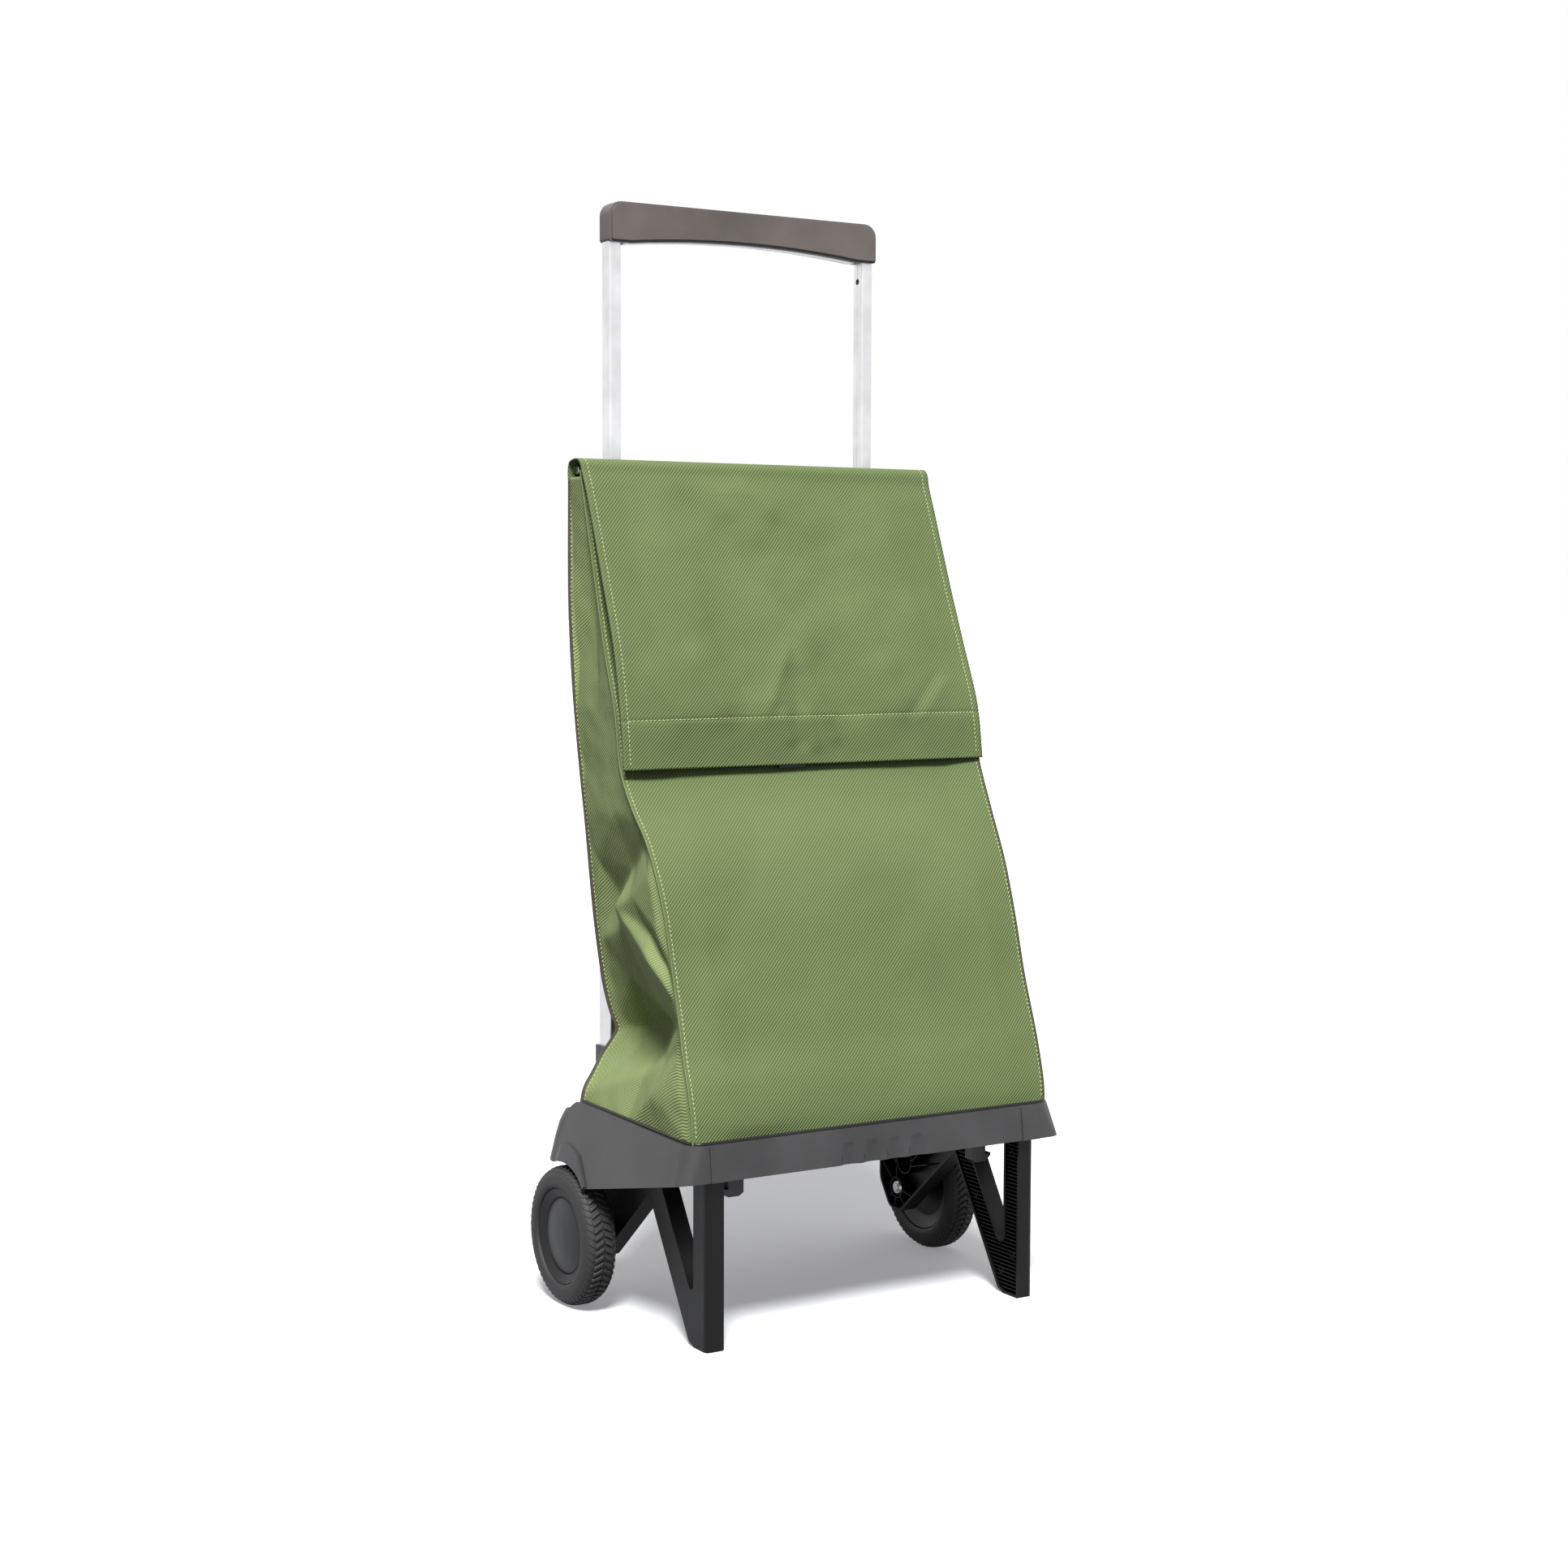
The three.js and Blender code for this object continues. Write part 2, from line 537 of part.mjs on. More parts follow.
for (const side of [LEFT, RIGHT]) {
  const name = sideName(side);
  piece(`${name}_outer_tube`, outerTube(side), ALUMINIUM);
  piece(`${name}_hinge_block`, hingeBlock(side), BASE_PLASTIC);
  const pin = [[0, 121], [6.5, 121], [6.5, 122.6], [FOLD.r, 122.6], [FOLD.r, 165], [0, 165]];
  piece(`${name}_fold_pin`, turned(pin, FOLD.y, FOLD.z, side, 20), STEEL);
  piece(`${name}_tube_collar`, collar(side), BLACK_PLASTIC);
  piece(`${name}_lock_button`, lockButton(side), BLACK_PLASTIC);
}

const crossHalf = TUBE_X - OUTER_TUBE.wide / 2 - GAP;
piece('cross_tube', cut(
  rod([-crossHalf, TUBE_Y, 262], [crossHalf, TUBE_Y, 262], 8, 24),
  rod([-crossHalf - 1, TUBE_Y, 262], [crossHalf + 1, TUBE_Y, 262], 6.6, 24),
), ALUMINIUM);
piece('top_rod', rod([-190, ROD.y, ROD.z], [190, ROD.y, ROD.z], ROD.r, 16), ALUMINIUM);

// ---- handle ---------------------------------------------------------------------------------

function innerTube(side) {
  const { wide, deep, wall, low, high } = INNER_TUBE;
  const x = side * TUBE_X;
  const inwardFace = x - (side * wide) / 2;
  const groove = block([inwardFace - 0.7, inwardFace + 0.7], [TUBE_Y - 0.8, TUBE_Y + 0.8], [low - 1, high + 1]);
  const lockHole = rod([inwardFace - 3, TUBE_Y, LOCK_Z + TRAVEL], [inwardFace + 3, TUBE_Y, LOCK_Z + TRAVEL], 3, 16);
  return cut(
    prism('z', box2(x, TUBE_Y, wide, deep, 2.2), low, high),
    prism('z', box2(x, TUBE_Y, wide - 2 * wall, deep - 2 * wall, 1), low - 1, high + 1),
    groove,
    lockHole,
  );
}

const ARCH_HALF = 128;                 // half the width of the arched underside
const archPoints = (rise) => Array.from({ length: 13 }, (_, i) => {
  const x = ARCH_HALF * (1 - i / 6);
  return [x, GRIP.low + rise + GRIP.arch * (1 - (x / ARCH_HALF) ** 2)];
});
const gripCorners = [
  [-GRIP.half, GRIP.low, 3], ...archPoints(0).reverse(), [GRIP.half, GRIP.low, 3],
  [GRIP.half, GRIP.high, 13], [-GRIP.half, GRIP.high, 13],
];

const GRIP_SPLIT = (GRIP.front + GRIP.rear) / 2;
const CORE = { half: 130, front: GRIP_SPLIT - 5, rear: GRIP_SPLIT + 5, top: 1030 };

// Half of the grip: its outside, hollowed for the core bar and the two tubes.
function gripShell(front, rear, outsideIsFront) {
  const wholeOutline = rounded(gripCorners, 5);
  const body = prism('y', wholeOutline, front, rear);
  const bevel = prism('y', rounded(inset(gripCorners, 2), 5), front, rear);
  const deep = outsideIsFront ? [front + 3, rear] : [front, rear - 3];
  const stepped = join(prism('y', wholeOutline, ...deep), bevel);
  const coreRoom = block([-CORE.half - GAP, CORE.half + GAP], [CORE.front - GAP, CORE.rear + GAP], [990, CORE.top + GAP]);
  const tubeRoom = [LEFT, RIGHT].map((side) => prism('z',
    box2(side * TUBE_X, TUBE_Y, INNER_TUBE.wide + 2 * GAP, INNER_TUBE.deep + 2 * GAP, 2.4), 990, INNER_TUBE.high + 1));
  return cut(stepped.intersect(body), coreRoom, ...tubeRoom);
}

for (const side of [LEFT, RIGHT]) {
  piece(`${sideName(side)}_inner_tube`, innerTube(side), ALUMINIUM);
}
piece('grip_front_shell', gripShell(GRIP.front, GRIP_SPLIT - GAP / 2, true), GRIP_PLASTIC);
piece('grip_rear_shell', gripShell(GRIP_SPLIT + GAP / 2, GRIP.rear, false), GRIP_PLASTIC);
piece('grip_core', prism('y', [
  [-CORE.half, GRIP.low + 1], ...archPoints(-0.8).reverse(), [CORE.half, GRIP.low + 1],
  [CORE.half, CORE.top], [-CORE.half, CORE.top],
], CORE.front, CORE.rear), ALUMINIUM);

// ---- bag ------------------------------------------------------------------------------------

function gusset(side) {
  const outline = [
    ...FRONT_PROFILE.map(([y, z]) => [y + CLOTH + 3 * GAP, Math.min(z, 780)]),
    ...BACK_PROFILE.map(([y, z]) => [y - CLOTH - 3 * GAP, Math.min(z, 780)]).reverse(),
  ];
  return prism('x', outline, side * (BAG_HALF - CLOTH), side * BAG_HALF);
}

piece('bag_front_panel', strip(FRONT_PROFILE, CLOTH, BAG_HALF), FABRIC);
piece('bag_back_panel', strip(BACK_PROFILE, -CLOTH, BAG_HALF), FABRIC);
piece('bag_left_gusset', gusset(LEFT), FABRIC);
piece('bag_right_gusset', gusset(RIGHT), FABRIC);
piece('bag_floor_panel', block([-192, 192], [-129, 80], [187, 188.4]), FABRIC);
piece('bag_top_strip', block([-FLAP_HALF + 3, FLAP_HALF - 3], [FLAP_FOLD.y + 1.4, 100.6], [794.8, 796.6]), FABRIC);
piece('flap', strip(FLAP_PROFILE, CLOTH, FLAP_HALF), FABRIC);

// The two halves of the buckle under the middle of the flap's hem.
piece('buckle_socket', block([-33, -4], [-13.4, -8.6], [508.5, 522]), BLACK_PLASTIC);
piece('buckle_plug', block([-28, -9], [-11.6, -6.5], [522.5, 535]), BLACK_PLASTIC);

export default trolley;
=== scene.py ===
"""The looks of a folding shopping trolley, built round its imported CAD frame.

Metres, +Z up, and the front of the bag faces -Y. Hard parts are refined from the frame's own
meshes. The bag is sewn from sheets whose seams and creases are given in millimetres, in the
same frame, and turned into metres by mm().
"""

import json
import math

import bmesh
import bpy
import numpy as np
from mathutils import Matrix, Vector, noise
from mathutils.bvhtree import BVHTree
from mathutils.geometry import delaunay_2d_cdt

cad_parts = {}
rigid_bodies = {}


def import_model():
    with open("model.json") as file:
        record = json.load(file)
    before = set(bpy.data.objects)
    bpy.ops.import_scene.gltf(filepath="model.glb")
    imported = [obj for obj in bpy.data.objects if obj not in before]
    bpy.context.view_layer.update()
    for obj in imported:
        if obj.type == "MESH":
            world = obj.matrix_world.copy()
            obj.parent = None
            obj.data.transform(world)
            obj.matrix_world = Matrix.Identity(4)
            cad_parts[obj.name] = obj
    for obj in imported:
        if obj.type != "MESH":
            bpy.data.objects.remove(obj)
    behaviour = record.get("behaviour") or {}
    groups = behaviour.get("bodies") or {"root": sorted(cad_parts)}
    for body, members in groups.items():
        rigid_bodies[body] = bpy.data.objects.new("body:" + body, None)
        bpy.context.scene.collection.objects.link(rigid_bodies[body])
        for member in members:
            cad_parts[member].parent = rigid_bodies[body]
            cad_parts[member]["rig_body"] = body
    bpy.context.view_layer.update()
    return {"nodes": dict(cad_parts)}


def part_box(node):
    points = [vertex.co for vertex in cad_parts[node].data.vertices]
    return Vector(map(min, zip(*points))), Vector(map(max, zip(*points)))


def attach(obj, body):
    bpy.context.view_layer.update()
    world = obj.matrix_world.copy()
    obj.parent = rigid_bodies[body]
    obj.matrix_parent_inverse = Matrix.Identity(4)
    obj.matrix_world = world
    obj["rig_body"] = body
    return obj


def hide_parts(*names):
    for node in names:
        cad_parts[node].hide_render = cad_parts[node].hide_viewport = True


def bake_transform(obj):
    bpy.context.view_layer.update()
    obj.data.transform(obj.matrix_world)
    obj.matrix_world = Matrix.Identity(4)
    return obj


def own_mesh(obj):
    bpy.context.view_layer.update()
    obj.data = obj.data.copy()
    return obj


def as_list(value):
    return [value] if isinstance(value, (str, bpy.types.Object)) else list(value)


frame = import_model()

NODES = frame["nodes"]
SIDES = (("left", -1), ("right", 1))
CLOTH_MAP = "cloth"  # the UV map of every sheet, in metres of flat cloth


def mm(*values):
    """Millimetres as metres."""
    return values[0] * 0.001 if len(values) == 1 else tuple(v * 0.001 for v in values)


def add_object(name, data):
    """A new object in the scene."""
    made = bpy.data.objects.new(name, data)
    bpy.context.scene.collection.objects.link(made)
    return made


# ---- camera, light and floor ----

CAMERA_PLACE = Vector((-1.2878, -2.0432, 0.6704))
CAMERA_YAW = math.radians(31.827)
CAMERA_PITCH = math.radians(4.228)
CAMERA_ROLL = math.radians(0.168)
CAMERA_LENS = 58.28


def make_camera():
    across, forward = math.sin(CAMERA_YAW), math.cos(CAMERA_YAW)
    flat = math.cos(CAMERA_PITCH)
    ahead = Vector((across * flat, forward * flat, -math.sin(CAMERA_PITCH)))
    level = Vector((forward, -across, 0))
    above = level.cross(ahead)
    right = math.cos(CAMERA_ROLL) * level + math.sin(CAMERA_ROLL) * above
    up = math.cos(CAMERA_ROLL) * above - math.sin(CAMERA_ROLL) * level
    data = bpy.data.cameras.new("camera")
    data.lens = CAMERA_LENS
    camera = add_object("camera", data)
    turn = Matrix((right, up, -ahead)).transposed().to_4x4()
    camera.matrix_world = Matrix.Translation(CAMERA_PLACE) @ turn
    bpy.context.scene.camera = camera


def sun_light(name, shines_from, softness, power):
    """Soft light from one direction, the same everywhere on the floor."""
    data = bpy.data.lights.new(name, "SUN")
    data.angle = math.radians(softness)
    data.energy = power
    light = add_object(name, data)
    light.rotation_euler = Vector(shines_from).to_track_quat("Z", "Y").to_euler()


BRIGHT_SIDE = (0.2, -0.6, 0.77)  # where most of the studio's soft light comes from
DIMMEST, BRIGHTEST = 0.06, 0.3
WHITE_IN_REFLECTIONS = 0.95
FLOOR_IN_REFLECTIONS = 0.5


def make_world():
    """White behind the object and in its reflections, and as light brighter from the front."""
    world = bpy.data.worlds.new("studio")
    bpy.context.scene.world = world
    world.use_nodes = True
    tree = world.node_tree
    tree.nodes.clear()
    node, link = tree.nodes.new, tree.links.new
    seen = node("ShaderNodeBackground")
    lit = node("ShaderNodeBackground")
    direction = node("ShaderNodeTexCoord")
    facing = node("ShaderNodeVectorMath")
    facing.operation = "DOT_PRODUCT"
    facing.inputs[1].default_value = BRIGHT_SIDE
    strength = node("ShaderNodeMapRange")
    limits = {"From Min": -0.9, "From Max": 0.9, "To Min": DIMMEST, "To Max": BRIGHTEST}
    for socket, value in limits.items():
        strength.inputs[socket].default_value = value
    path = node("ShaderNodeLightPath")
    mix = node("ShaderNodeMixShader")
    out = node("ShaderNodeOutputWorld")
    link(direction.outputs["Generated"], facing.inputs[0])
    link(facing.outputs["Value"], strength.inputs["Value"])
    link(strength.outputs[0], lit.inputs["Strength"])
    for background in (seen, lit):
        background.inputs["Color"].default_value = (1, 1, 1, 1)
    mirrored = node("ShaderNodeMath")
    mirrored.operation = "MULTIPLY_ADD"
    mirrored.use_clamp = True
    mirrored.inputs[1].default_value = WHITE_IN_REFLECTIONS
    link(path.outputs["Is Glossy Ray"], mirrored.inputs[0])
    link(path.outputs["Is Camera Ray"], mirrored.inputs[2])
    link(mirrored.outputs[0], mix.inputs[0])
    link(lit.outputs[0], mix.inputs[1])
    link(seen.outputs[0], mix.inputs[2])
    link(mix.outputs[0], out.inputs["Surface"])


FLOOR_GLOW = 0.25
FLOOR_BOUNCE = (72, 72, 74)


def floor_look():
    """White where the camera sees it, less so in reflections, and dim as bounced light."""
    look = Look("floor", (240, 241, 245), 0.8, Emission_Strength=FLOOR_GLOW)
    look.set("Emission Color", srgb(250, 250, 255))
    look.set("Specular IOR Level", 0.0)
    bounce = look.node("BsdfDiffuse", Color=srgb(*FLOOR_BOUNCE))
    path = look.node("LightPath")
    mirrored = look.math("MULTIPLY", path.outputs["Is Glossy Ray"], FLOOR_IN_REFLECTIONS)
    seen = look.math("MAXIMUM", path.outputs["Is Camera Ray"], mirrored)
    mix = look.node("MixShader")
    look.feed(mix.inputs[0], seen)
    look.feed(mix.inputs[1], bounce.outputs[0])
    look.feed(mix.inputs[2], look.shader.outputs[0])
    look.feed(look.tree.nodes["Material Output"].inputs["Surface"], mix.outputs[0])
    return look.material


def make_studio():
    make_world()
    sun_light("key", (-0.4, -0.64, 1.0), softness=16, power=4.5)
    sun_light("top", (0.05, -0.1, 1.0), softness=40, power=0.25)
    bpy.context.scene.view_settings.view_transform = "Standard"

    mesh = bpy.data.meshes.new("floor")
    reach = 60.0
    corners = [(-reach, -reach, 0), (reach, -reach, 0), (reach, reach, 0), (-reach, reach, 0)]
    mesh.from_pydata(corners, [], [(0, 1, 2, 3)])
    floor = add_object("floor", mesh)
    mesh.materials.append(floor_look())


# ---- materials ----

def srgb(red, green, blue):
    """A colour given as 0 to 255, as the shader's linear colour."""
    linear = [
        ((c / 255 + 0.055) / 1.055) ** 2.4 if c > 10 else c / 255 / 12.92
        for c in (red, green, blue)
    ]
    return (*linear, 1.0)


def shaded(colour, share):
    """A colour made darker or lighter, as the shader's linear colour."""
    return srgb(*[min(255, c * share) for c in colour])


class Look:
    """A material made of nodes round one Principled shader."""

    def __init__(self, name, colour, roughness, **sockets):
        self.material = bpy.data.materials.new(name)
        self.material.use_nodes = True
        self.tree = self.material.node_tree
        self.shader = self.tree.nodes["Principled BSDF"]
        self.set("Base Color", srgb(*colour))
        self.set("Roughness", roughness)
        for socket, value in sockets.items():
            self.set(socket.replace("_", " "), value)

    def set(self, socket, value):
        self.feed(self.shader.inputs[socket], value)

    def feed(self, socket, value):
        if isinstance(value, bpy.types.NodeSocket):
            self.tree.links.new(value, socket)
        elif value is not None:
            socket.default_value = value

    def node(self, kind, settings=(), **inputs):
        made = self.tree.nodes.new("ShaderNode" + kind)
        for key, value in dict(settings).items():
            setattr(made, key, value)
        for key, value in inputs.items():
            self.feed(made.inputs[key.replace("_", " ")], value)
        return made

    def math(self, operation, a, b=0.0):
        made = self.node("Math", {"operation": operation})
        self.feed(made.inputs[0], a)
        self.feed(made.inputs[1], b)
        return made.outputs[0]

    def blend(self, share, low, high):
        """One colour turning into another."""
        made = self.node("Mix", {"data_type": "RGBA"})
        self.feed(made.inputs[0], share)
        self.feed(made.inputs[6], low)
        self.feed(made.inputs[7], high)
        return made.outputs[2]

    def spread(self, value, low, high, to_low, to_high):
        """A value's range turned into another range."""
        limits = dict(From_Min=low, From_Max=high, To_Min=to_low, To_Max=to_high)
        return self.node("MapRange", Value=value, **limits).outputs[0]

    def object_place(self, stretch=(1, 1, 1)):
        """Object coordinates, in metres, stretched along each axis."""
        coordinates = self.node("TexCoord").outputs["Object"]
        made = self.node("VectorMath", {"operation": "MULTIPLY"})
        self.feed(made.inputs[0], coordinates)
        self.feed(made.inputs[1], stretch)
        return made.outputs[0]

    def cloth_place(self):
        return self.node("UVMap", {"uv_map": CLOTH_MAP}).outputs[0]

    def noise(self, scale, detail=2.0, place=None):
        made = self.node("TexNoise", Scale=scale, Detail=detail)
        self.feed(made.inputs["Vector"], place or self.object_place())
        return made.outputs[0]

    def bump(self, height, depth, strength):
        """Relief of that real depth in metres."""
        made = self.node("Bump", Strength=strength, Distance=depth, Height=height)
        self.set("Normal", made.outputs[0])


def moulded(name, colour, roughness, grain, depth, **sockets):
    """Moulded plastic: fine spark-eroded grain, faint flow marks and slightly uneven gloss."""
    look = Look(name, colour, roughness, **sockets)
    fine = look.noise(grain, 3.0)
    clouds = look.noise(14.0, 4.0)
    cloudy = look.spread(clouds, 0.3, 0.7, 0, 1)
    look.set("Base Color", look.blend(cloudy, shaded(colour, 0.88), shaded(colour, 1.1)))
    look.set("Roughness", look.spread(clouds, 0.3, 0.7, roughness - 0.05, roughness + 0.06))
    look.bump(fine, depth, 0.5)
    return look.material


def drawn_metal(name, colour, roughness, along):
    """Drawn or turned metal: fine lines along one axis, with small differences in gloss."""
    look = Look(name, colour, roughness, Metallic=1.0)
    stretch = [4.0 if axis == along else 900.0 for axis in "xyz"]
    lines = look.noise(1.0, 3.0, look.object_place(stretch))
    patches = look.noise(30.0, 2.0)
    look.set("Roughness", look.spread(lines, 0.25, 0.75, roughness - 0.06, roughness + 0.08))
    dull = look.spread(patches, 0.35, 0.65, 0, 1)
    look.set("Base Color", look.blend(dull, shaded(colour, 0.93), srgb(*colour)))
    look.bump(lines, mm(0.02), 0.35)
    return look.material


TWILL_PITCH = mm(2.5)  # from one diagonal rib to the next
FLOAT_PITCH = TWILL_PITCH * 0.8  # from one float to the next along a rib
TWILL_RELIEF = mm(0.3)


def twill(name, colour, slope, darkest, lightest):
    """Coarse coated twill: raised diagonal ribs made of short floats.

    Slope is the angle in degrees between level and the direction square to the ribs. Darkest and
    lightest are shares of the colour: painted shade in the furrows and painted highlight on the ribs.
    """
    rise, run = math.sin(math.radians(slope)), -math.cos(math.radians(slope))
    look = Look(name, colour, 0.62, Specular_IOR_Level=0.08)
    parts = look.node("SeparateXYZ", Vector=look.cloth_place())
    across, down = parts.outputs[0], parts.outputs[1]
    wobble = look.math("MULTIPLY", look.noise(260.0, 1.0, look.cloth_place()), 0.55)

    def stripes(x_share, y_share, pitch, offset=None):
        turned = look.math(
            "ADD",
            look.math("MULTIPLY", across, x_share / pitch * math.tau),
            look.math("MULTIPLY", down, y_share / pitch * math.tau),
        )
        if offset is not None:
            turned = look.math("ADD", turned, offset)
        return look.math("MULTIPLY_ADD", look.math("SINE", turned), 0.5)

    ribs = stripes(run, rise, TWILL_PITCH, wobble)
    floats = stripes(rise, -run, FLOAT_PITCH)
    height = look.math("ADD", look.math("MULTIPLY", ribs, 1.5), look.math("MULTIPLY", floats, 0.5))
    shade = look.spread(height, -0.7, 0.9, 0, 1)
    patches = look.noise(9.0, 3.0, look.cloth_place())
    # painted shade in the furrows and painted highlight on the rib tops, over the bump's real relief
    painted_weave_shade = look.blend(shade, shaded(colour, darkest), shaded(colour, lightest))
    faded = look.blend(look.spread(patches, 0.3, 0.7, 0, 0.16), painted_weave_shade, srgb(*colour))
    look.set("Base Color", faded)
    look.set("Roughness", look.spread(shade, 0, 1, 0.72, 0.55))
    look.bump(height, TWILL_RELIEF, 0.85)
    return look.material


TAPE_PITCH = mm(1.1)


def tape_look(name, colour):
    """Woven tape with fine ribs across it."""
    look = Look(name, colour, 0.75, Sheen_Weight=0.1)
    parts = look.node("SeparateXYZ", Vector=look.object_place())
    ribs = look.math("SINE", look.math("MULTIPLY", parts.outputs[2], math.tau / TAPE_PITCH))
    fuzz = look.noise(700.0, 2.0)
    worn = look.spread(fuzz, 0.3, 0.7, 0, 1)
    look.set("Base Color", look.blend(worn, shaded(colour, 0.75), srgb(*colour)))
    height = look.math("ADD", look.math("MULTIPLY", ribs, 0.4), fuzz)
    look.bump(height, mm(0.15), 0.6)
    return look.material


def rubber_look():
    """Black rubber, greyer where dust clings to it."""
    look = Look("tyre_rubber", (38, 38, 39), 0.55)
    dust = look.noise(26.0, 4.0)
    fine = look.noise(1500.0, 2.0)
    dusty = look.spread(dust, 0.35, 0.7, 0, 1)
    look.set("Base Color", look.blend(dusty, srgb(40, 40, 41), srgb(54, 54, 54)))
    look.set("Roughness", look.spread(dust, 0.3, 0.7, 0.55, 0.7))
    look.bump(fine, mm(0.06), 0.5)
    return look.material


def thread_look():
    """Pale green twisted sewing thread."""
    look = Look("thread", (205, 212, 160), 0.7)
    strand = look.noise(1800.0, 1.0)
    look.set("Base Color", look.blend(strand, srgb(178, 190, 128), srgb(222, 228, 182)))
    look.bump(strand, mm(0.08), 0.5)
    return look.material


def board_look():
    """Dark pressed fibre board."""
    look = Look("fibre_board", (52, 50, 48), 0.85)
    fibres = look.noise(1.0, 4.0, look.object_place((160, 600, 600)))
    look.set("Base Color", look.blend(fibres, srgb(40, 38, 37), srgb(66, 63, 60)))
    look.bump(fibres, mm(0.15), 0.5)
    return look.material


def plain_twill():
    """The bag's cloth where it is only a few millimetres wide."""
    look = Look("bag_twill_plain", BAG_GREEN, 0.66)
    threads = look.noise(900.0, 2.0)
    look.set("Base Color", look.blend(threads, srgb(92, 108, 64), srgb(132, 148, 96)))
    look.bump(threads, mm(0.15), 0.6)
    return look.material


BAG_GREEN = (88, 100, 66)
# The sides are the front's cloth painted lighter: painted light that makes up for the dimmer light falling
# on the sides.
SIDE_GREEN_PAINTED_LIGHTER = (106, 117, 80)
FRONT_TWILL = twill("bag_twill", BAG_GREEN, 43, 0.5, 1.38)
SIDE_TWILL_PAINTED_LIGHTER = twill("bag_twill_sides_painted_lighter", SIDE_GREEN_PAINTED_LIGHTER, 62, 0.34, 1.5)
BINDING = tape_look("seam_binding", (92, 84, 72))
PLAIN_TWILL = plain_twill()
THREAD = thread_look()
BASE_PLASTIC = moulded("base_plastic", (66, 66, 67), 0.31, 1100.0, mm(0.03))
LEG_PLASTIC = moulded("leg_plastic", (12, 12, 13), 0.4, 1100.0, mm(0.035), Specular_IOR_Level=0.3)
BLACK_PLASTIC = moulded(
    "black_plastic", (24, 24, 25), 0.4, 1400.0, mm(0.025), Specular_IOR_Level=0.35
)
CAP_PLASTIC = moulded("cap_plastic", (35, 36, 37), 0.36, 1100.0, mm(0.03))
GRIP_PLASTIC = moulded("grip_plastic", (106, 99, 95), 0.5, 900.0, mm(0.045))
ALUMINIUM = drawn_metal("aluminium", (246, 246, 247), 0.36, "z")
CROSS_METAL = drawn_metal("aluminium_across", (233, 234, 236), 0.3, "x")
STEEL = drawn_metal("zinc_plated_steel", (205, 206, 208), 0.28, "x")
ROD_STEEL = drawn_metal("zinc_plated_rod", (205, 206, 208), 0.28, "y")
RUBBER = rubber_look()
BOARD = board_look()


# ---- mesh helpers ----

def new_piece(name, vertices, faces, material, body, slot=None):
    """A smooth-shaded mesh object that rides on a CAD body."""
    mesh = bpy.data.meshes.new(name)
    mesh.from_pydata([tuple(v) for v in vertices], [], [tuple(f) for f in faces])
    mesh.polygons.foreach_set("use_smooth", [True] * len(mesh.polygons))
    mesh.materials.append(material)
    piece = add_object(name, mesh)
    if body:
        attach(piece, body)
    return piece


def fix_normals(piece):
    """Turns every face outward."""
    shape = bmesh.new()
    shape.from_mesh(piece.data)
    bmesh.ops.recalc_face_normals(shape, faces=shape.faces)
    shape.to_mesh(piece.data)
    shape.free()


def soften(piece, width, segments=1, angle=30):
    """Rounds the edges that turn by more than an angle in degrees."""
    rounding = piece.modifiers.new("rounding", "BEVEL")
    rounding.limit_method = "ANGLE"
    rounding.angle_limit = math.radians(angle)
    rounding.width = width
    rounding.segments = segments
    shading = piece.modifiers.new("shading", "WEIGHTED_NORMAL")
    shading.keep_sharp = True


BOX_QUADS = ((0, 3, 2, 1), (4, 5, 6, 7), (0, 1, 5, 4), (1, 2, 6, 5), (2, 3, 7, 6), (3, 0, 4, 7))


def box_faces(start):
    """Faces of a box whose corners are listed as low ring then high ring."""
    return [tuple(start + i for i in quad) for quad in BOX_QUADS]


def arc(a, b, radius, start, end, steps=8):
    """Points of an arc round a centre in a flat view, with its ends in degrees."""
    turns = [math.radians(start + (end - start) * i / steps) for i in range(steps + 1)]
    return [(a + radius * math.cos(t), b + radius * math.sin(t)) for t in turns]


def refined(node, material, slot, bevel=mm(0.6), segments=2, sharp=34, change=None):
    """A CAD node's own shape with its flat faces joined and its edges rounded."""
    shape = bmesh.new()
    shape.from_mesh(NODES[node].data)
    bmesh.ops.remove_doubles(shape, verts=shape.verts, dist=mm(0.002))
    level = math.radians(0.6)
    bmesh.ops.dissolve_limit(shape, angle_limit=level, verts=shape.verts, edges=shape.edges)
    bmesh.ops.dissolve_degenerate(shape, dist=mm(0.02), edges=shape.edges)
    if change:
        change(shape)
    shape.verts.ensure_lookup_table()
    vertices = [v.co.copy() for v in shape.verts]
    faces = [[v.index for v in f.verts] for f in shape.faces]
    shape.free()
    body = NODES[node]["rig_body"]
    piece = new_piece(f"{node}_finished", vertices, faces, material, body, slot)
    soften(piece, bevel, segments, sharp)
    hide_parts(node)


# ---- hard parts ----

FLARE_START = mm(190)
FLARE_HEIGHT = mm(28)
FLARE_AT_RIM = mm(1.5)
FLARE_BELOW = mm(3.5)


def flare_tray(shape):
    """The tray's ends swell outward below the rim."""
    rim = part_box("bag_board")[1].z + mm(3)
    for v in shape.verts:
        if abs(v.co.x) > FLARE_START:
            share = min(1.0, max(0.0, (rim - v.co.z) / FLARE_HEIGHT))
            swell = FLARE_AT_RIM + FLARE_BELOW * math.sin(share * math.pi / 2)
            v.co.x += math.copysign(swell, v.co.x)


# The black strip along the tray's rim is painted shadow: it darkens the gap between the rim and the bag.
SHADOW_STRIP_FRONT, SHADOW_STRIP_REAR, SHADOW_STRIP_END = mm(-133.9), mm(78), mm(195.0)
SHADOW_STRIP_CORNER = mm(11)
SHADOW_STRIP_HEIGHT = mm(188.2)
SHADOW_STRIP_RISE = mm(4)  # from the front to the rear


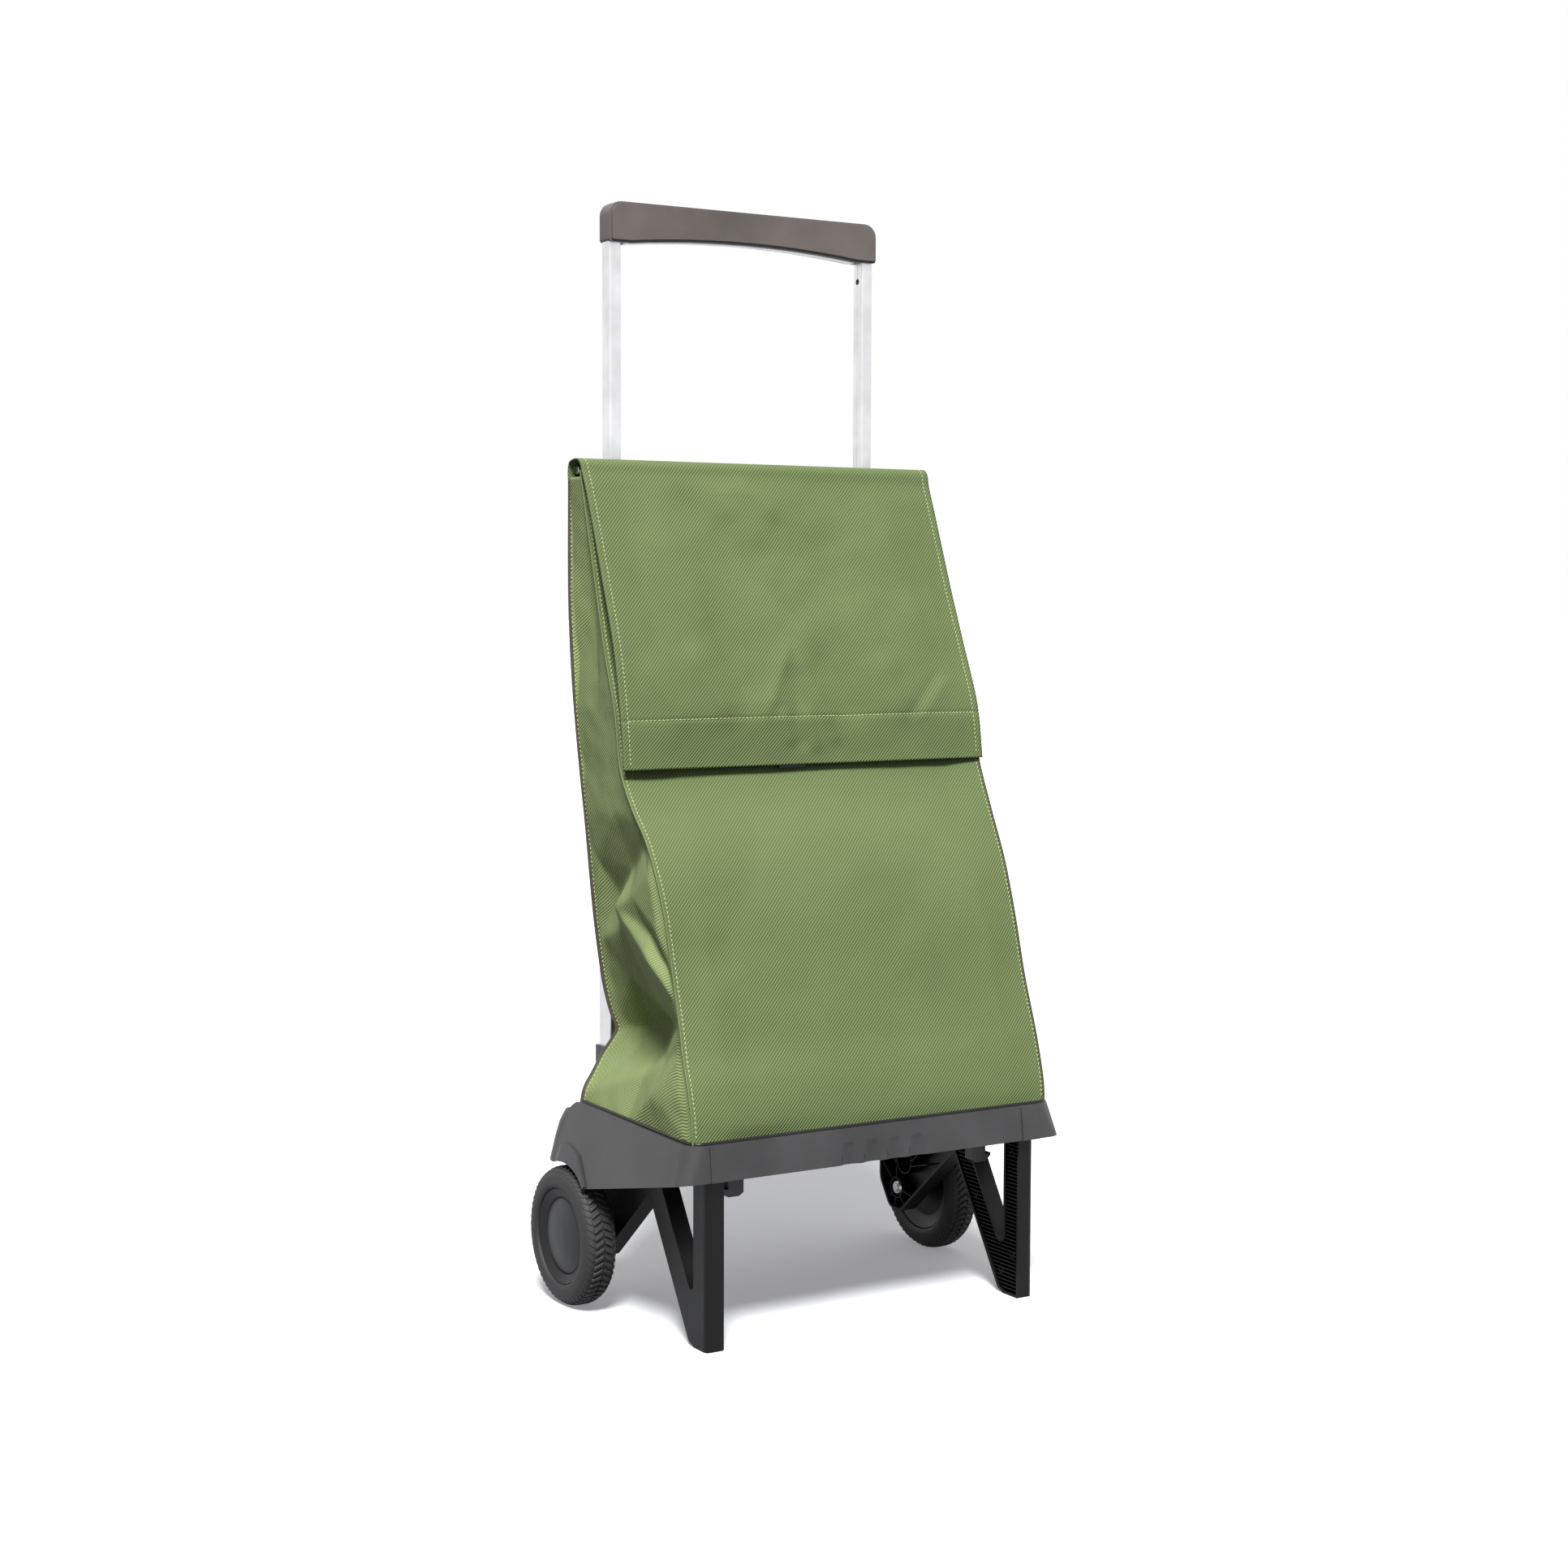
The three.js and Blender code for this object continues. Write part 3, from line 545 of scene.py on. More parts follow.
def make_rim_shadow_strip():
    """A black strip between the tray's rim and the bag: painted shadow of the gap there."""
    line = [(-SHADOW_STRIP_END, SHADOW_STRIP_REAR)]
    for side, start in ((-1, 180), (1, 270)):
        middle = side * (SHADOW_STRIP_END - SHADOW_STRIP_CORNER)
        line += arc(middle, SHADOW_STRIP_FRONT + SHADOW_STRIP_CORNER, SHADOW_STRIP_CORNER, start, start + 90, 6)
    line.append((SHADOW_STRIP_END, SHADOW_STRIP_REAR))
    frames = []
    for i, (x, y) in enumerate(line):
        before, after = line[max(0, i - 1)], line[min(len(line) - 1, i + 1)]
        along = Vector((after[0] - before[0], after[1] - before[1], 0)).normalized()
        rise = (y - SHADOW_STRIP_FRONT) / (SHADOW_STRIP_REAR - SHADOW_STRIP_FRONT) * SHADOW_STRIP_RISE
        place = Vector((x, y, SHADOW_STRIP_HEIGHT + rise))
        frames.append((place, Vector((along.y, -along.x, 0)), Vector((0, 0, 1))))
    section = tape_section(mm(2.0), mm(5.0))
    swept("tray_rim_shadow_strip", frames, section, BLACK_PLASTIC, "base", "black_plastic")


# Small parts that come as a left and a right one: name, material, slot, and rounding in mm.
PAIRED_PARTS = (
    ("leg_rod", ROD_STEEL, "steel", 0.4),
    ("axle", STEEL, "steel", 0.5),
    ("push_nut", STEEL, "steel", 0.2),
    ("fold_pin", STEEL, "steel", 0.4),
    ("hinge_block", BASE_PLASTIC, "base_plastic", 0.6),
    ("outer_tube", ALUMINIUM, "aluminium", 0.25),
    ("inner_tube", ALUMINIUM, "aluminium", 0.2),
    ("tube_collar", BLACK_PLASTIC, "black_plastic", 0.6),
    ("lock_button", BLACK_PLASTIC, "black_plastic", 0.3),
    ("wheel_spacer", BLACK_PLASTIC, "black_plastic", 0.3),
    ("wheel_rim", BLACK_PLASTIC, "black_plastic", 0.5),
    ("hub_cap", CAP_PLASTIC, "cap_plastic", 0.4),
)


def make_hard_parts():
    make_rim_shadow_strip()
    refined("base_tray", BASE_PLASTIC, "base_plastic", bevel=mm(0.7), change=flare_tray)
    refined("bag_board", BOARD, "board", bevel=mm(0.4))
    for shell in ("grip_front_shell", "grip_rear_shell"):
        refined(shell, GRIP_PLASTIC, "grip_plastic", bevel=mm(1.0), segments=3)
    for node, rounding in (("grip_core", 0.3), ("cross_tube", 0.3), ("top_rod", 0.5)):
        refined(node, CROSS_METAL, "aluminium", bevel=mm(rounding))
    for name, _ in SIDES:
        refined(f"{name}_leg_frame", LEG_PLASTIC, "leg_plastic", bevel=mm(1.6), segments=3)
        for part, material, slot, rounding in PAIRED_PARTS:
            refined(f"{name}_{part}", material, slot, bevel=mm(rounding))


TREAD_DEPTH = mm(2.2)
TREAD_COUNT = 58
CROWN_DROP = 0.936  # how fast the tread falls away towards the tyre's sides
TREAD_START = 0.93  # share of the radius where the tread begins


def make_tyre(name):
    """The CAD tyre with its tread cut down, and chevron lugs back up to full size."""
    low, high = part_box(f"{name}_tyre")
    centre = (low + high) / 2
    radius = (high.z - low.z) / 2
    width = high.x - low.x

    def cut_down(shape):
        for v in shape.verts:
            out = Vector((0, v.co.y - centre.y, v.co.z - centre.z))
            share = (out.length / radius - TREAD_START) / (1 - TREAD_START)
            if share > 0:
                v.co -= out.normalized() * TREAD_DEPTH * min(1.0, share)

    refined(f"{name}_tyre", RUBBER, "tyre", bevel=mm(0.4), sharp=60, change=cut_down)

    vertices, faces = [], []

    def crown(x):
        """Radius of the full tread at a distance from the tyre's middle."""
        return radius - CROWN_DROP * radius * (abs(x) / width) ** 3.2

    def lug(angle, line, half_width, lean, root, height):
        """A ridge along x that leans round the tyre, standing on the cut-down tread."""
        start = len(vertices)
        for x in line:
            turn = angle + lean * abs(x - line[0]) / radius
            top, foot = crown(x) - TREAD_DEPTH + height, crown(x) - TREAD_DEPTH - root
            for r, swing in ((foot, -1.25), (top, -0.8), (top, 0.8), (foot, 1.25)):
                a = turn + swing * half_width / radius
                y, z = r * math.cos(a), r * math.sin(a)
                vertices.append((centre.x + x, centre.y + y, centre.z + z))
        for i in range(len(line) - 1):
            a, b = start + 4 * i, start + 4 * (i + 1)
            faces.extend((a + k, a + k + 1, b + k + 1, b + k) for k in range(3))
            faces.append((a + 3, a, b, b + 3))
        end = start + 4 * (len(line) - 1)
        faces.append((start + 3, start + 2, start + 1, start))
        faces.append((end, end + 1, end + 2, end + 3))

    for i in range(TREAD_COUNT):
        angle = math.tau * i / TREAD_COUNT
        for direction in (-1, 1):
            inner = [direction * mm(v) for v in (0.6, 3.5, 6.5, 9.2)]
            lug(angle, inner, mm(1.9), 0.55, mm(0.6), TREAD_DEPTH)
            shoulder = [direction * mm(v) for v in (10.2, 12.2, 14.0)]
            lug(angle + math.pi / TREAD_COUNT, shoulder, mm(1.7), -0.9, mm(1.0), TREAD_DEPTH * 0.8)
    lugs = new_piece(f"{name}_tyre_tread", vertices, faces, RUBBER, f"{name}_wheel", "tyre")
    fix_normals(lugs)
    soften(lugs, mm(0.35))


RIB_PITCH = mm(3.7)
RIB_THICK = mm(1.0)
RIB_INSET = mm(1.3)
RIB_ROOT = mm(0.3)
RIB_DEEPEST = mm(13)  # where a rib has no web behind it
SHORTEST_RIB = mm(4)
BRACKET_FRONT = mm(-16)  # behind this the ribs run to the axle instead of level

# Ribs round the axle as lines in a side view: a loop, a post, rays and struts.
BRACKET_RIBS = [
    [(75, 156)] + arc(62.5, 96, 12.5, 0, -180) + [(50, 156)],
    [(76, 88), (76, 77)],
    [(101, 90), (82, 72)],
    [(99, 120), (76, 92)],
    [(92, 52), (82, 60)],
    [(78, 46), (77, 56)],
    [(62, 51), (70, 59)],
    [(50, 62), (66, 65)],
    [(50, 98), (10, 128)],
    [(52, 92), (22, 100)],
    [(50, 130), (-8, 138)],
    arc(76, 66, 10.5, 0, 360, 20),
]
RING_BOSSES = [(-62, 88), (-121, 40), (-120, 138), (-104, 22)]  # small round bosses' middles
RING_RADIUS = 3.0


def make_leg_ribs(name, side):
    """Ribs in the leg frame's open pockets: level ones in front, and rays round the axle."""
    node = f"{name}_leg_frame"
    low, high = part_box(node)
    inner = high.x if side < 0 else low.x
    frame_mesh = NODES[node].data
    tree = BVHTree.FromPolygons(
        [v.co for v in frame_mesh.vertices], [p.vertices for p in frame_mesh.polygons]
    )
    rib_face = inner + side * RIB_INSET
    outward = Vector((side, 0, 0))
    vertices, faces = [], []

    def pocket_floor(y, z):
        """x of the web behind an open pocket, or None beside the frame or in its window."""
        hit = tree.ray_cast(Vector((inner - side * mm(1), y, z)), outward, mm(20))
        if hit[0] is None or abs(hit[0].x - inner) < mm(6):
            return None
        return hit[0].x

    def spans(z, step=mm(1)):
        """Stretches along y where the pocket is open at a height."""
        start, y = None, low.y
        while y < min(high.y, BRACKET_FRONT):
            if pocket_floor(y, z) is not None:
                start = y if start is None else start
            elif start is not None:
                yield start - step, y
                start = None
            y += step

    def add_rib(a, b, floor):
        """A rib between two points of the side view, from the open face into the web."""
        along = (b - a).normalized()
        beside = Vector((0, -along.z, along.y)) * RIB_THICK / 2
        face = Vector((rib_face, 0, 0))
        root = Vector((floor + side * RIB_ROOT, 0, 0))
        first = len(vertices)
        for shift in (-beside, beside):
            vertices.extend([face + a + shift, face + b + shift, root + b + shift, root + a + shift])
        faces.extend(box_faces(first))

    z = low.z + mm(6)
    while z < high.z - mm(24):
        for start, end in spans(z):
            floor = pocket_floor((start + end) / 2, z)
            if floor is not None and end - start >= SHORTEST_RIB:
                add_rib(Vector((0, start, z)), Vector((0, end, z)), floor)
        z += RIB_PITCH
    rings = [arc(y, z, RING_RADIUS, 0, 360, 12) for y, z in RING_BOSSES]
    for path in BRACKET_RIBS + rings:
        for (y0, z0), (y1, z1) in zip(path, path[1:]):
            a, b = Vector((0, *mm(y0, z0))), Vector((0, *mm(y1, z1)))
            floor = pocket_floor((a.y + b.y) / 2, (a.z + b.z) / 2)
            add_rib(a, b, floor or inner + side * RIB_DEEPEST)
    ribs = new_piece(f"{name}_leg_ribs", vertices, faces, LEG_PLASTIC, f"{name}_leg", "leg_plastic")
    fix_normals(ribs)
    soften(ribs, mm(0.2))


# ---- cloth helpers ----

def between(low, high, place, a, b):
    """The value at a place on the way from a, which is at low, to b, which is at high."""
    return (high - place) / (high - low) * a + (place - low) / (high - low) * b


def smooth_line(points, count, steps=16):
    """A smooth curve through control points, cut into equal lengths."""
    points = np.array(points, float)
    ends = np.vstack([2 * points[0] - points[1], points, 2 * points[-1] - points[-2]])
    fine = []
    for p0, p1, p2, p3 in zip(ends, ends[1:], ends[2:], ends[3:]):
        gaps = [np.linalg.norm(b - a) ** 0.5 for a, b in ((p0, p1), (p1, p2), (p2, p3))]
        k0, k1, k2, k3 = np.cumsum([0] + gaps)
        for t in np.linspace(k1, k2, steps, endpoint=False):
            a1, a2 = between(k0, k1, t, p0, p1), between(k1, k2, t, p1, p2)
            a3 = between(k2, k3, t, p2, p3)
            b1, b2 = between(k0, k2, t, a1, a2), between(k1, k3, t, a2, a3)
            fine.append(between(k1, k2, t, b1, b2))
    fine.append(points[-1])
    fine = np.array(fine)
    run = np.concatenate([[0], np.cumsum(np.linalg.norm(np.diff(fine, axis=0), axis=1))])
    places = np.linspace(0, run[-1], count)
    return np.stack([np.interp(places, run, fine[:, k]) for k in range(fine.shape[1])], axis=1)


def at_heights(line, heights):
    """A seam's points at given heights. The line runs down, with z last."""
    order = np.argsort(line[:, -1])
    return np.stack(
        [np.interp(heights, line[order, -1], line[order, k]) for k in range(line.shape[1])], axis=1
    )


def ripple(points, size, height, seed):
    """Smooth seeded unevenness, as a height per point."""
    shape = points.shape[:-1]
    shift = Vector((seed * 3.7, seed * 1.3, seed * 2.1))
    values = [noise.noise(Vector(p) / size + shift) * height for p in points.reshape(-1, 3)]
    return np.array(values).reshape(shape)


def blur(field, rounds):
    """Rounds off a field's sharp edges, keeping its border."""
    for _ in range(rounds):
        middle = field[1:-1, 1:-1]
        around = field[:-2, 1:-1] + field[2:, 1:-1] + field[1:-1, :-2] + field[1:-1, 2:]
        field = field.copy()
        field[1:-1, 1:-1] = 0.5 * middle + 0.125 * around
    return field


FOLD_EDGE = 0.35  # how round a fold's crest is, as a share of its width


def fold(first, second, start, end, height, width):
    """A fold along a line in two flat coordinates: highest on the line, gone at its ends."""
    a, b = np.array(start, float), np.array(end, float)
    along = b - a
    length = np.linalg.norm(along)
    share = ((first - a[0]) * along[0] + (second - a[1]) * along[1]) / length**2
    off = np.abs((first - a[0]) * along[1] - (second - a[1]) * along[0]) / length
    round_off = np.sqrt(off**2 + (FOLD_EDGE * width) ** 2) - FOLD_EDGE * width
    fade = np.clip(np.minimum(share + 0.15, 1.15 - share) / 0.4, 0, 1)
    return height * np.exp(-round_off / width) * fade**2 * (3 - 2 * fade)


class Surface:
    """A grid of points, rows down and columns across, with its normals."""

    def __init__(self, points, flip=False):
        self.points = points
        down = np.gradient(points, axis=0)
        across = np.gradient(points, axis=1)
        normals = np.cross(down, across)
        lengths = np.linalg.norm(normals, axis=2, keepdims=True)
        self.normals = normals / np.maximum(lengths, 1e-12) * (-1 if flip else 1)

    def moved(self, heights):
        """The same surface pushed along its normals."""
        made = Surface(self.points + self.normals * heights[..., None])
        if (made.normals * self.normals).sum() < 0:
            made.normals = -made.normals
        return made

    def at(self, across, down):
        """Point and normal at shares of the way across and down."""
        rows, columns, _ = self.points.shape
        r, c = down * (rows - 1), across * (columns - 1)
        i, j = min(int(r), rows - 2), min(int(c), columns - 2)
        u, v = r - i, c - j

        def mixed(grid):
            top = grid[i, j] * (1 - v) + grid[i, j + 1] * v
            bottom = grid[i + 1, j] * (1 - v) + grid[i + 1, j + 1] * v
            return top * (1 - u) + bottom * u

        return Vector(mixed(self.points)), Vector(mixed(self.normals)).normalized()

    def patch(self, across, down, columns, rows, lift):
        """Part of the surface, lifted off it."""
        grid = np.zeros((rows, columns, 3))
        for i, t in enumerate(np.linspace(*down, rows)):
            for j, s in enumerate(np.linspace(*across, columns)):
                point, normal = self.at(s, t)
                grid[i, j] = point + normal * lift
        return Surface(grid)

    def line(self, start, end, count, lift=0.0):
        """Points and normals along a straight line in the flat cloth."""
        found = []
        (s0, t0), (s1, t1) = start, end
        for k in np.linspace(0, 1, count):
            point, normal = self.at(s0 + (s1 - s0) * k, t0 + (t1 - t0) * k)
            found.append((point + normal * lift, normal))
        return found


def cloth(name, surface, material, thickness, body):
    """A sheet of cloth over a surface, with a UV map in metres of cloth and real thickness."""
    rows, columns, _ = surface.points.shape
    faces = [
        (i * columns + j, i * columns + j + 1, (i + 1) * columns + j + 1, (i + 1) * columns + j)
        for i in range(rows - 1)
        for j in range(columns - 1)
    ]
    piece = new_piece(name, surface.points.reshape(-1, 3), faces, material, body, "bag_fabric")
    widths = np.linalg.norm(np.diff(surface.points, axis=1), axis=2)
    lengths = np.linalg.norm(np.diff(surface.points, axis=0), axis=2)
    across = np.concatenate([np.zeros((rows, 1)), np.cumsum(widths, axis=1)], axis=1)
    across -= across[:, -1:] / 2
    down = np.concatenate([np.zeros((1, columns)), np.cumsum(lengths, axis=0)], axis=0)
    flat = np.stack([across, -down], axis=2).reshape(-1, 2)
    layer = piece.data.uv_layers.new(name=CLOTH_MAP)
    corners = np.zeros(len(piece.data.loops), int)
    piece.data.loops.foreach_get("vertex_index", corners)
    layer.data.foreach_set("uv", flat[corners].ravel())
    solid = piece.modifiers.new("thickness", "SOLIDIFY")
    solid.thickness = thickness
    solid.offset = 0
    return piece


def swept(name, line, section, material, body, slot=None):
    """A closed section carried along points, each given with its across and out directions."""
    vertices, faces = [], []
    size = len(section)
    for point, across, out in line:
        vertices += [Vector(point) + across * a + out * b for a, b in section]
    for i in range(len(line) - 1):
        for k in range(size):
            n = (k + 1) % size
            faces.append((i * size + k, i * size + n, (i + 1) * size + n, (i + 1) * size + k))
    last = (len(line) - 1) * size
    faces.append(tuple(range(size - 1, -1, -1)))
    faces.append(tuple(last + k for k in range(size)))
    piece = new_piece(name, vertices, faces, material, body, slot)
    fix_normals(piece)
    return piece


def tape_section(width, thickness):
    """A flat tape's section with rounded edges."""
    half, lip = width / 2, thickness / 2
    flat = half - 0.4 * lip
    return [(-half, 0), (-flat, -lip), (flat, -lip), (half, 0), (flat, lip), (-flat, lip)]


# A stitch is a thread whose rings are given as share of its length and share of its radius.
STITCH_PITCH = mm(4.2)
STITCH_LENGTH = mm(2.7)
STITCH_R = mm(0.42)
STITCH_RINGS = ((-0.5, 0.35), (-0.3, 1.0), (0.0, 1.15), (0.3, 1.0), (0.5, 0.35))
STITCH_SIDES = 6


def stitched(name, lines, body):
    """Separate thread stitches along lines of points and normals."""
    vertices, faces = [], []
    rings, sides = STITCH_RINGS, STITCH_SIDES
    for line in lines:
        points = np.array([p for p, _ in line])
        run = np.concatenate([[0], np.cumsum(np.linalg.norm(np.diff(points, axis=0), axis=1))])
        for place in np.arange(STITCH_PITCH / 2, run[-1] - STITCH_PITCH / 2, STITCH_PITCH):
            ahead = min(place + STITCH_LENGTH / 2, run[-1])
            behind = max(place - STITCH_LENGTH / 2, 0)
            ends = [[np.interp(w, run, points[:, k]) for k in range(3)] for w in (behind, ahead)]
            a, b = Vector(ends[0]), Vector(ends[1])
            normal = line[min(int(np.searchsorted(run, place)), len(line) - 1)][1]
            along = (b - a).normalized()
            side_way = along.cross(normal).normalized()
            middle = (a + b) / 2
            first = len(vertices)
            for share, size in rings:
                dip = normal * (0.25 - abs(share)) * STITCH_R
                for k in range(sides):
                    a = math.tau * k / sides
                    rim = side_way * math.cos(a) + normal * math.sin(a) * 0.8
                    offset = along * share * STITCH_LENGTH + dip + rim * STITCH_R * size
                    vertices.append(middle + offset)
            for r in range(len(rings) - 1):
                for k in range(sides):
                    n = (k + 1) % sides
                    a, b = first + r * sides, first + (r + 1) * sides
                    faces.append((a + k, a + n, b + n, b + k))
            last = first + (len(rings) - 1) * sides
            faces.append(tuple(first + k for k in range(sides - 1, -1, -1)))
            faces.append(tuple(last + k for k in range(sides)))
    piece = new_piece(name, vertices, faces, THREAD, body)
    fix_normals(piece)
    return piece


# ---- the bag ----

CLOTH = mm(1.2)
HEM_CLOTH = mm(1.1)
HEM_LIFT = -mm(1.25)  # a hem is turned to the inside
STITCH_LIFT = mm(0.75)
FRONT_REACH = 194  # half of the front panel's width, in millimetres
BAG_TOP = 781  # where the gussets end, in millimetres
RIGHT_SHARE = 0.6  # how far the right gusset is tucked in, as a share of the left one
BAG_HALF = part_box("bag_front_panel")[1].x
FLAP_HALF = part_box("flap")[1].x
BAG_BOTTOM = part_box("bag_board")[1].z - mm(2)

# Seams of the left side as (inward, y, z): how far the seam is pulled in, then its place.
LEFT_FRONT_SEAM = [
    (0, 79.5, 787), (0, 58, 711), (0, 32, 621), (0, 12, 563), (0, 1, 511), (0, -20, 479), (1, -46, 449),
    (2, -63, 418), (4, -74, 384), (5.5, -82, 348), (6, -91, 313), (5.5, -99, 286), (4, -108, 260),
    (2.5, -119.5, 235), (2, -126.5, 210), (1.8, -129.5, 184.6),
]
RIGHT_FRONT_SEAM = [
    (0, 80, 787), (0, 57, 715), (0, 22, 626), (0, -5, 563), (0, -18, 512), (0, -41, 460),
    (0, -62.5, 414), (1, -82, 360), (1, -97, 307), (0, -117, 246), (1, -129, 205), (1.8, -131.5, 184.6),
]
REAR_SEAM = [
    (0, 99.3, 781), (0, 99.3, 660), (2, 97, 590), (7, 91.5, 505), (11, 89.5, 460), (14, 87.5, 418),
    (19, 88.5, 373), (24, 88, 333), (29, 87, 300), (34, 83, 275), (37.5, 78.5, 262), (37.5, 78, 257),
    (32, 81, 246), (26, 85, 235), (15, 85, 217), (6, 84.5, 203), (1.8, 84, 184.6),
]

# The gusset's facets as (y, z, inward), and the creases that join them by index.
GUSSET_POINTS = [
    (120, 810, 0), (60, 810, 0), (120, 700, 0), (98, 686, 1), (38, 635, 1), (66, 660, 10),
    (120, 560, 3), (-10, 560, 0), (50, 570, 3), (110, 470, 10), (-60, 470, 0), (20, 470, 3),
    (-32, 445, 8), (8, 420, 18), (50, 392, 28), (-52, 420, 0), (-20, 398, -1), (74, 425, 13),
    (12, 384, 0), (-52, 345, -4), (-97, 304, 5), (26, 362, 15), (-38, 326, 13), (82, 345, 23),
    (78, 259, 38), (56, 262, 62), (14, 269, 64), (-99.5, 294, 6), (40, 316, 31), (-6, 302, 31),
    (84, 200, 5), (-8, 231, 20), (-58, 250, 14), (-103, 271, 5), (52, 236, 38), (0, 250, 46),
    (-9, 184, 1), (-62, 222, -3), (-101, 262, 4), (-124, 228, 1), (90, 184, 0), (-140, 184, 0),
    (-46, 368, 6), (-66, 345, 10), (-85, 323, 8), (-60, 374, -1), (-84, 346, 1), (150, 259, 38),
    (150, 184, 0), (-180, 184, 0), (-180, 470, 0), (-180, 294, 4), (150, 400, 18),
]
GUSSET_CREASES = [
    (3, 5), (5, 4), (12, 13), (13, 14), (18, 19), (19, 20), (21, 22), (24, 25), (25, 26), (26, 27),
    (30, 31), (31, 32), (32, 33), (36, 37), (37, 38), (42, 43), (43, 44),
]


def gusset_depth(ys, zs):
    """How far the gusset is tucked in at points of its plane, in millimetres."""
    flat = [Vector((y, z)) for y, z, _ in GUSSET_POINTS]
    points, _, triangles, origins, _, _ = delaunay_2d_cdt(flat, GUSSET_CREASES, [], 0, 1e-3)
    heights = [GUSSET_POINTS[o[0]][2] if o else 0 for o in origins]
    tree = BVHTree.FromPolygons(
        [(h, p.x, p.y) for h, p in zip(heights, points)], [tuple(t) for t in triangles]
    )
    far = 500
    depths = np.zeros(ys.shape)
    for index in np.ndindex(ys.shape):
        hit = tree.ray_cast(Vector((far, ys[index], zs[index])), Vector((-1, 0, 0)))
        depths[index] = hit[0].x if hit[0] else 0
    return depths


def gusset_surface(side):
    front = np.array(LEFT_FRONT_SEAM if side < 0 else RIGHT_FRONT_SEAM, float)
    rows, columns = 220, 84
    front_line = smooth_line(front, 400)
    rear_line = smooth_line(REAR_SEAM, 400)
    heights = np.linspace(BAG_TOP, BAG_BOTTOM * 1000, rows)
    front_edge = at_heights(front_line, heights)
    rear_edge = at_heights(rear_line, heights)
    share = np.linspace(0, 1, columns)[None, :]
    ys = rear_edge[:, 1:2] * (1 - share) + front_edge[:, 1:2] * share
    zs = np.repeat(heights[:, None], columns, axis=1)
    depth = blur(gusset_depth(ys, zs) * (1 if side < 0 else RIGHT_SHARE), 4)
    edge = rear_edge[:, 0:1] * (1 - share) + front_edge[:, 0:1] * share
    hold = np.clip(np.minimum(share, 1 - share) / 0.07, 0, 1)
    hold = hold * hold * (3 - 2 * hold)
    depth = edge * (1 - hold) + depth * hold
    flat = np.stack([np.zeros_like(ys), ys, zs], axis=2)
    depth += ripple(flat, 46.0, 1.6, 5 + side) * hold + ripple(flat, 15.0, 0.5, 9 + side) * hold
    xs = side * (BAG_HALF * 1000 - depth)
    return Surface(np.stack([xs, ys, zs], axis=2) * 0.001, flip=side > 0)


def panel_edge(seam, side, rows):
    """A seam as points in metres, from the top down, cut into equal lengths."""
    line = smooth_line(seam, rows)
    return np.stack(
        [side * (BAG_HALF - line[:, 0] * 0.001), line[:, 1] * 0.001, line[:, 2] * 0.001], axis=1
    )


# Soft folds of the front panel as start, end, height and width, in x and z.
FRONT_FOLDS = [
    ((-150, 330), (-60, 470), -3.0, 30), ((-132, 360), (-120, 250), -1.8, 16),
    ((-20, 470), (70, 300), 2.2, 36), ((90, 450), (150, 250), -1.6, 30),
]


def front_surface():
    rows, columns = 170, 110
    left = panel_edge(LEFT_FRONT_SEAM, -1, rows)
    right = panel_edge(RIGHT_FRONT_SEAM, 1, rows)
    share = np.linspace(0, 1, columns)[None, :, None]
    flat = Surface(left[:, None] * (1 - share) + right[:, None] * share)
    xs, zs = flat.points[..., 0] * 1000, flat.points[..., 2] * 1000
    edge = np.clip(np.minimum(xs + FRONT_REACH, FRONT_REACH - xs) / 40, 0, 1)
    belly = np.exp(-(((zs - 330) / 130) ** 2))
    waist = np.exp(-(((zs - 480) / 50) ** 2))
    height = 5.0 * edge * belly - 3.0 * waist * edge
    for each in FRONT_FOLDS:
        height += fold(xs, zs, *each)
    height += ripple(flat.points, 0.09, 2.2, 2) + ripple(flat.points, 0.03, 0.5, 3)
    hold = np.clip(np.minimum(zs - 186, 12) / 12, 0, 1) * edge**0.5
    return flat.moved(height * hold * 0.001)


def back_surface():
    rows, columns = 150, 80
    left, right = (panel_edge(REAR_SEAM, side, rows) for side in (-1, 1))
    share = np.linspace(0, 1, columns)[None, :, None]
    points = left[:, None] * (1 - share) + right[:, None] * share
    zs = points[..., 2] * 1000
    bow = np.sin(np.pi * share[..., 0])
    points[..., 1] += bow * 0.001 * 9 * np.exp(-(((zs - 274) / 40) ** 2))
    flat = Surface(points, flip=True)
    height = (ripple(points, 0.08, 1.6, 12) + ripple(points, 0.025, 0.4, 13)) * bow
    return flat.moved(height * 0.001)


# The flap as (y, z) down its left and right edges, from behind the top rod to the hem.
FLAP_OVER_ROD = [(99.6, 776), (100.2, 787), (98, 794.5), (91, 797.2), (82, 797.6)]
FLAP_LEFT = FLAP_OVER_ROD + [
    (75.5, 794), (72, 786), (64.5, 771), (50, 735), (35.5, 696), (9.5, 622), (-4, 556), (-9.5, 511.5),
]
FLAP_RIGHT = FLAP_OVER_ROD + [
    (77, 794), (73.5, 781), (66, 762), (48, 715), (31, 671), (12, 626), (-13.5, 563), (-22, 512.5),
]
HEM_DEPTH = 45
SIDE_HEM = 12
STITCH_IN = 7
STRIP_RUN = 38  # cloth behind the fold over the top rod
FLAP_REACH = 197  # half of the flap's width
FOLD_SIZE = 1.6

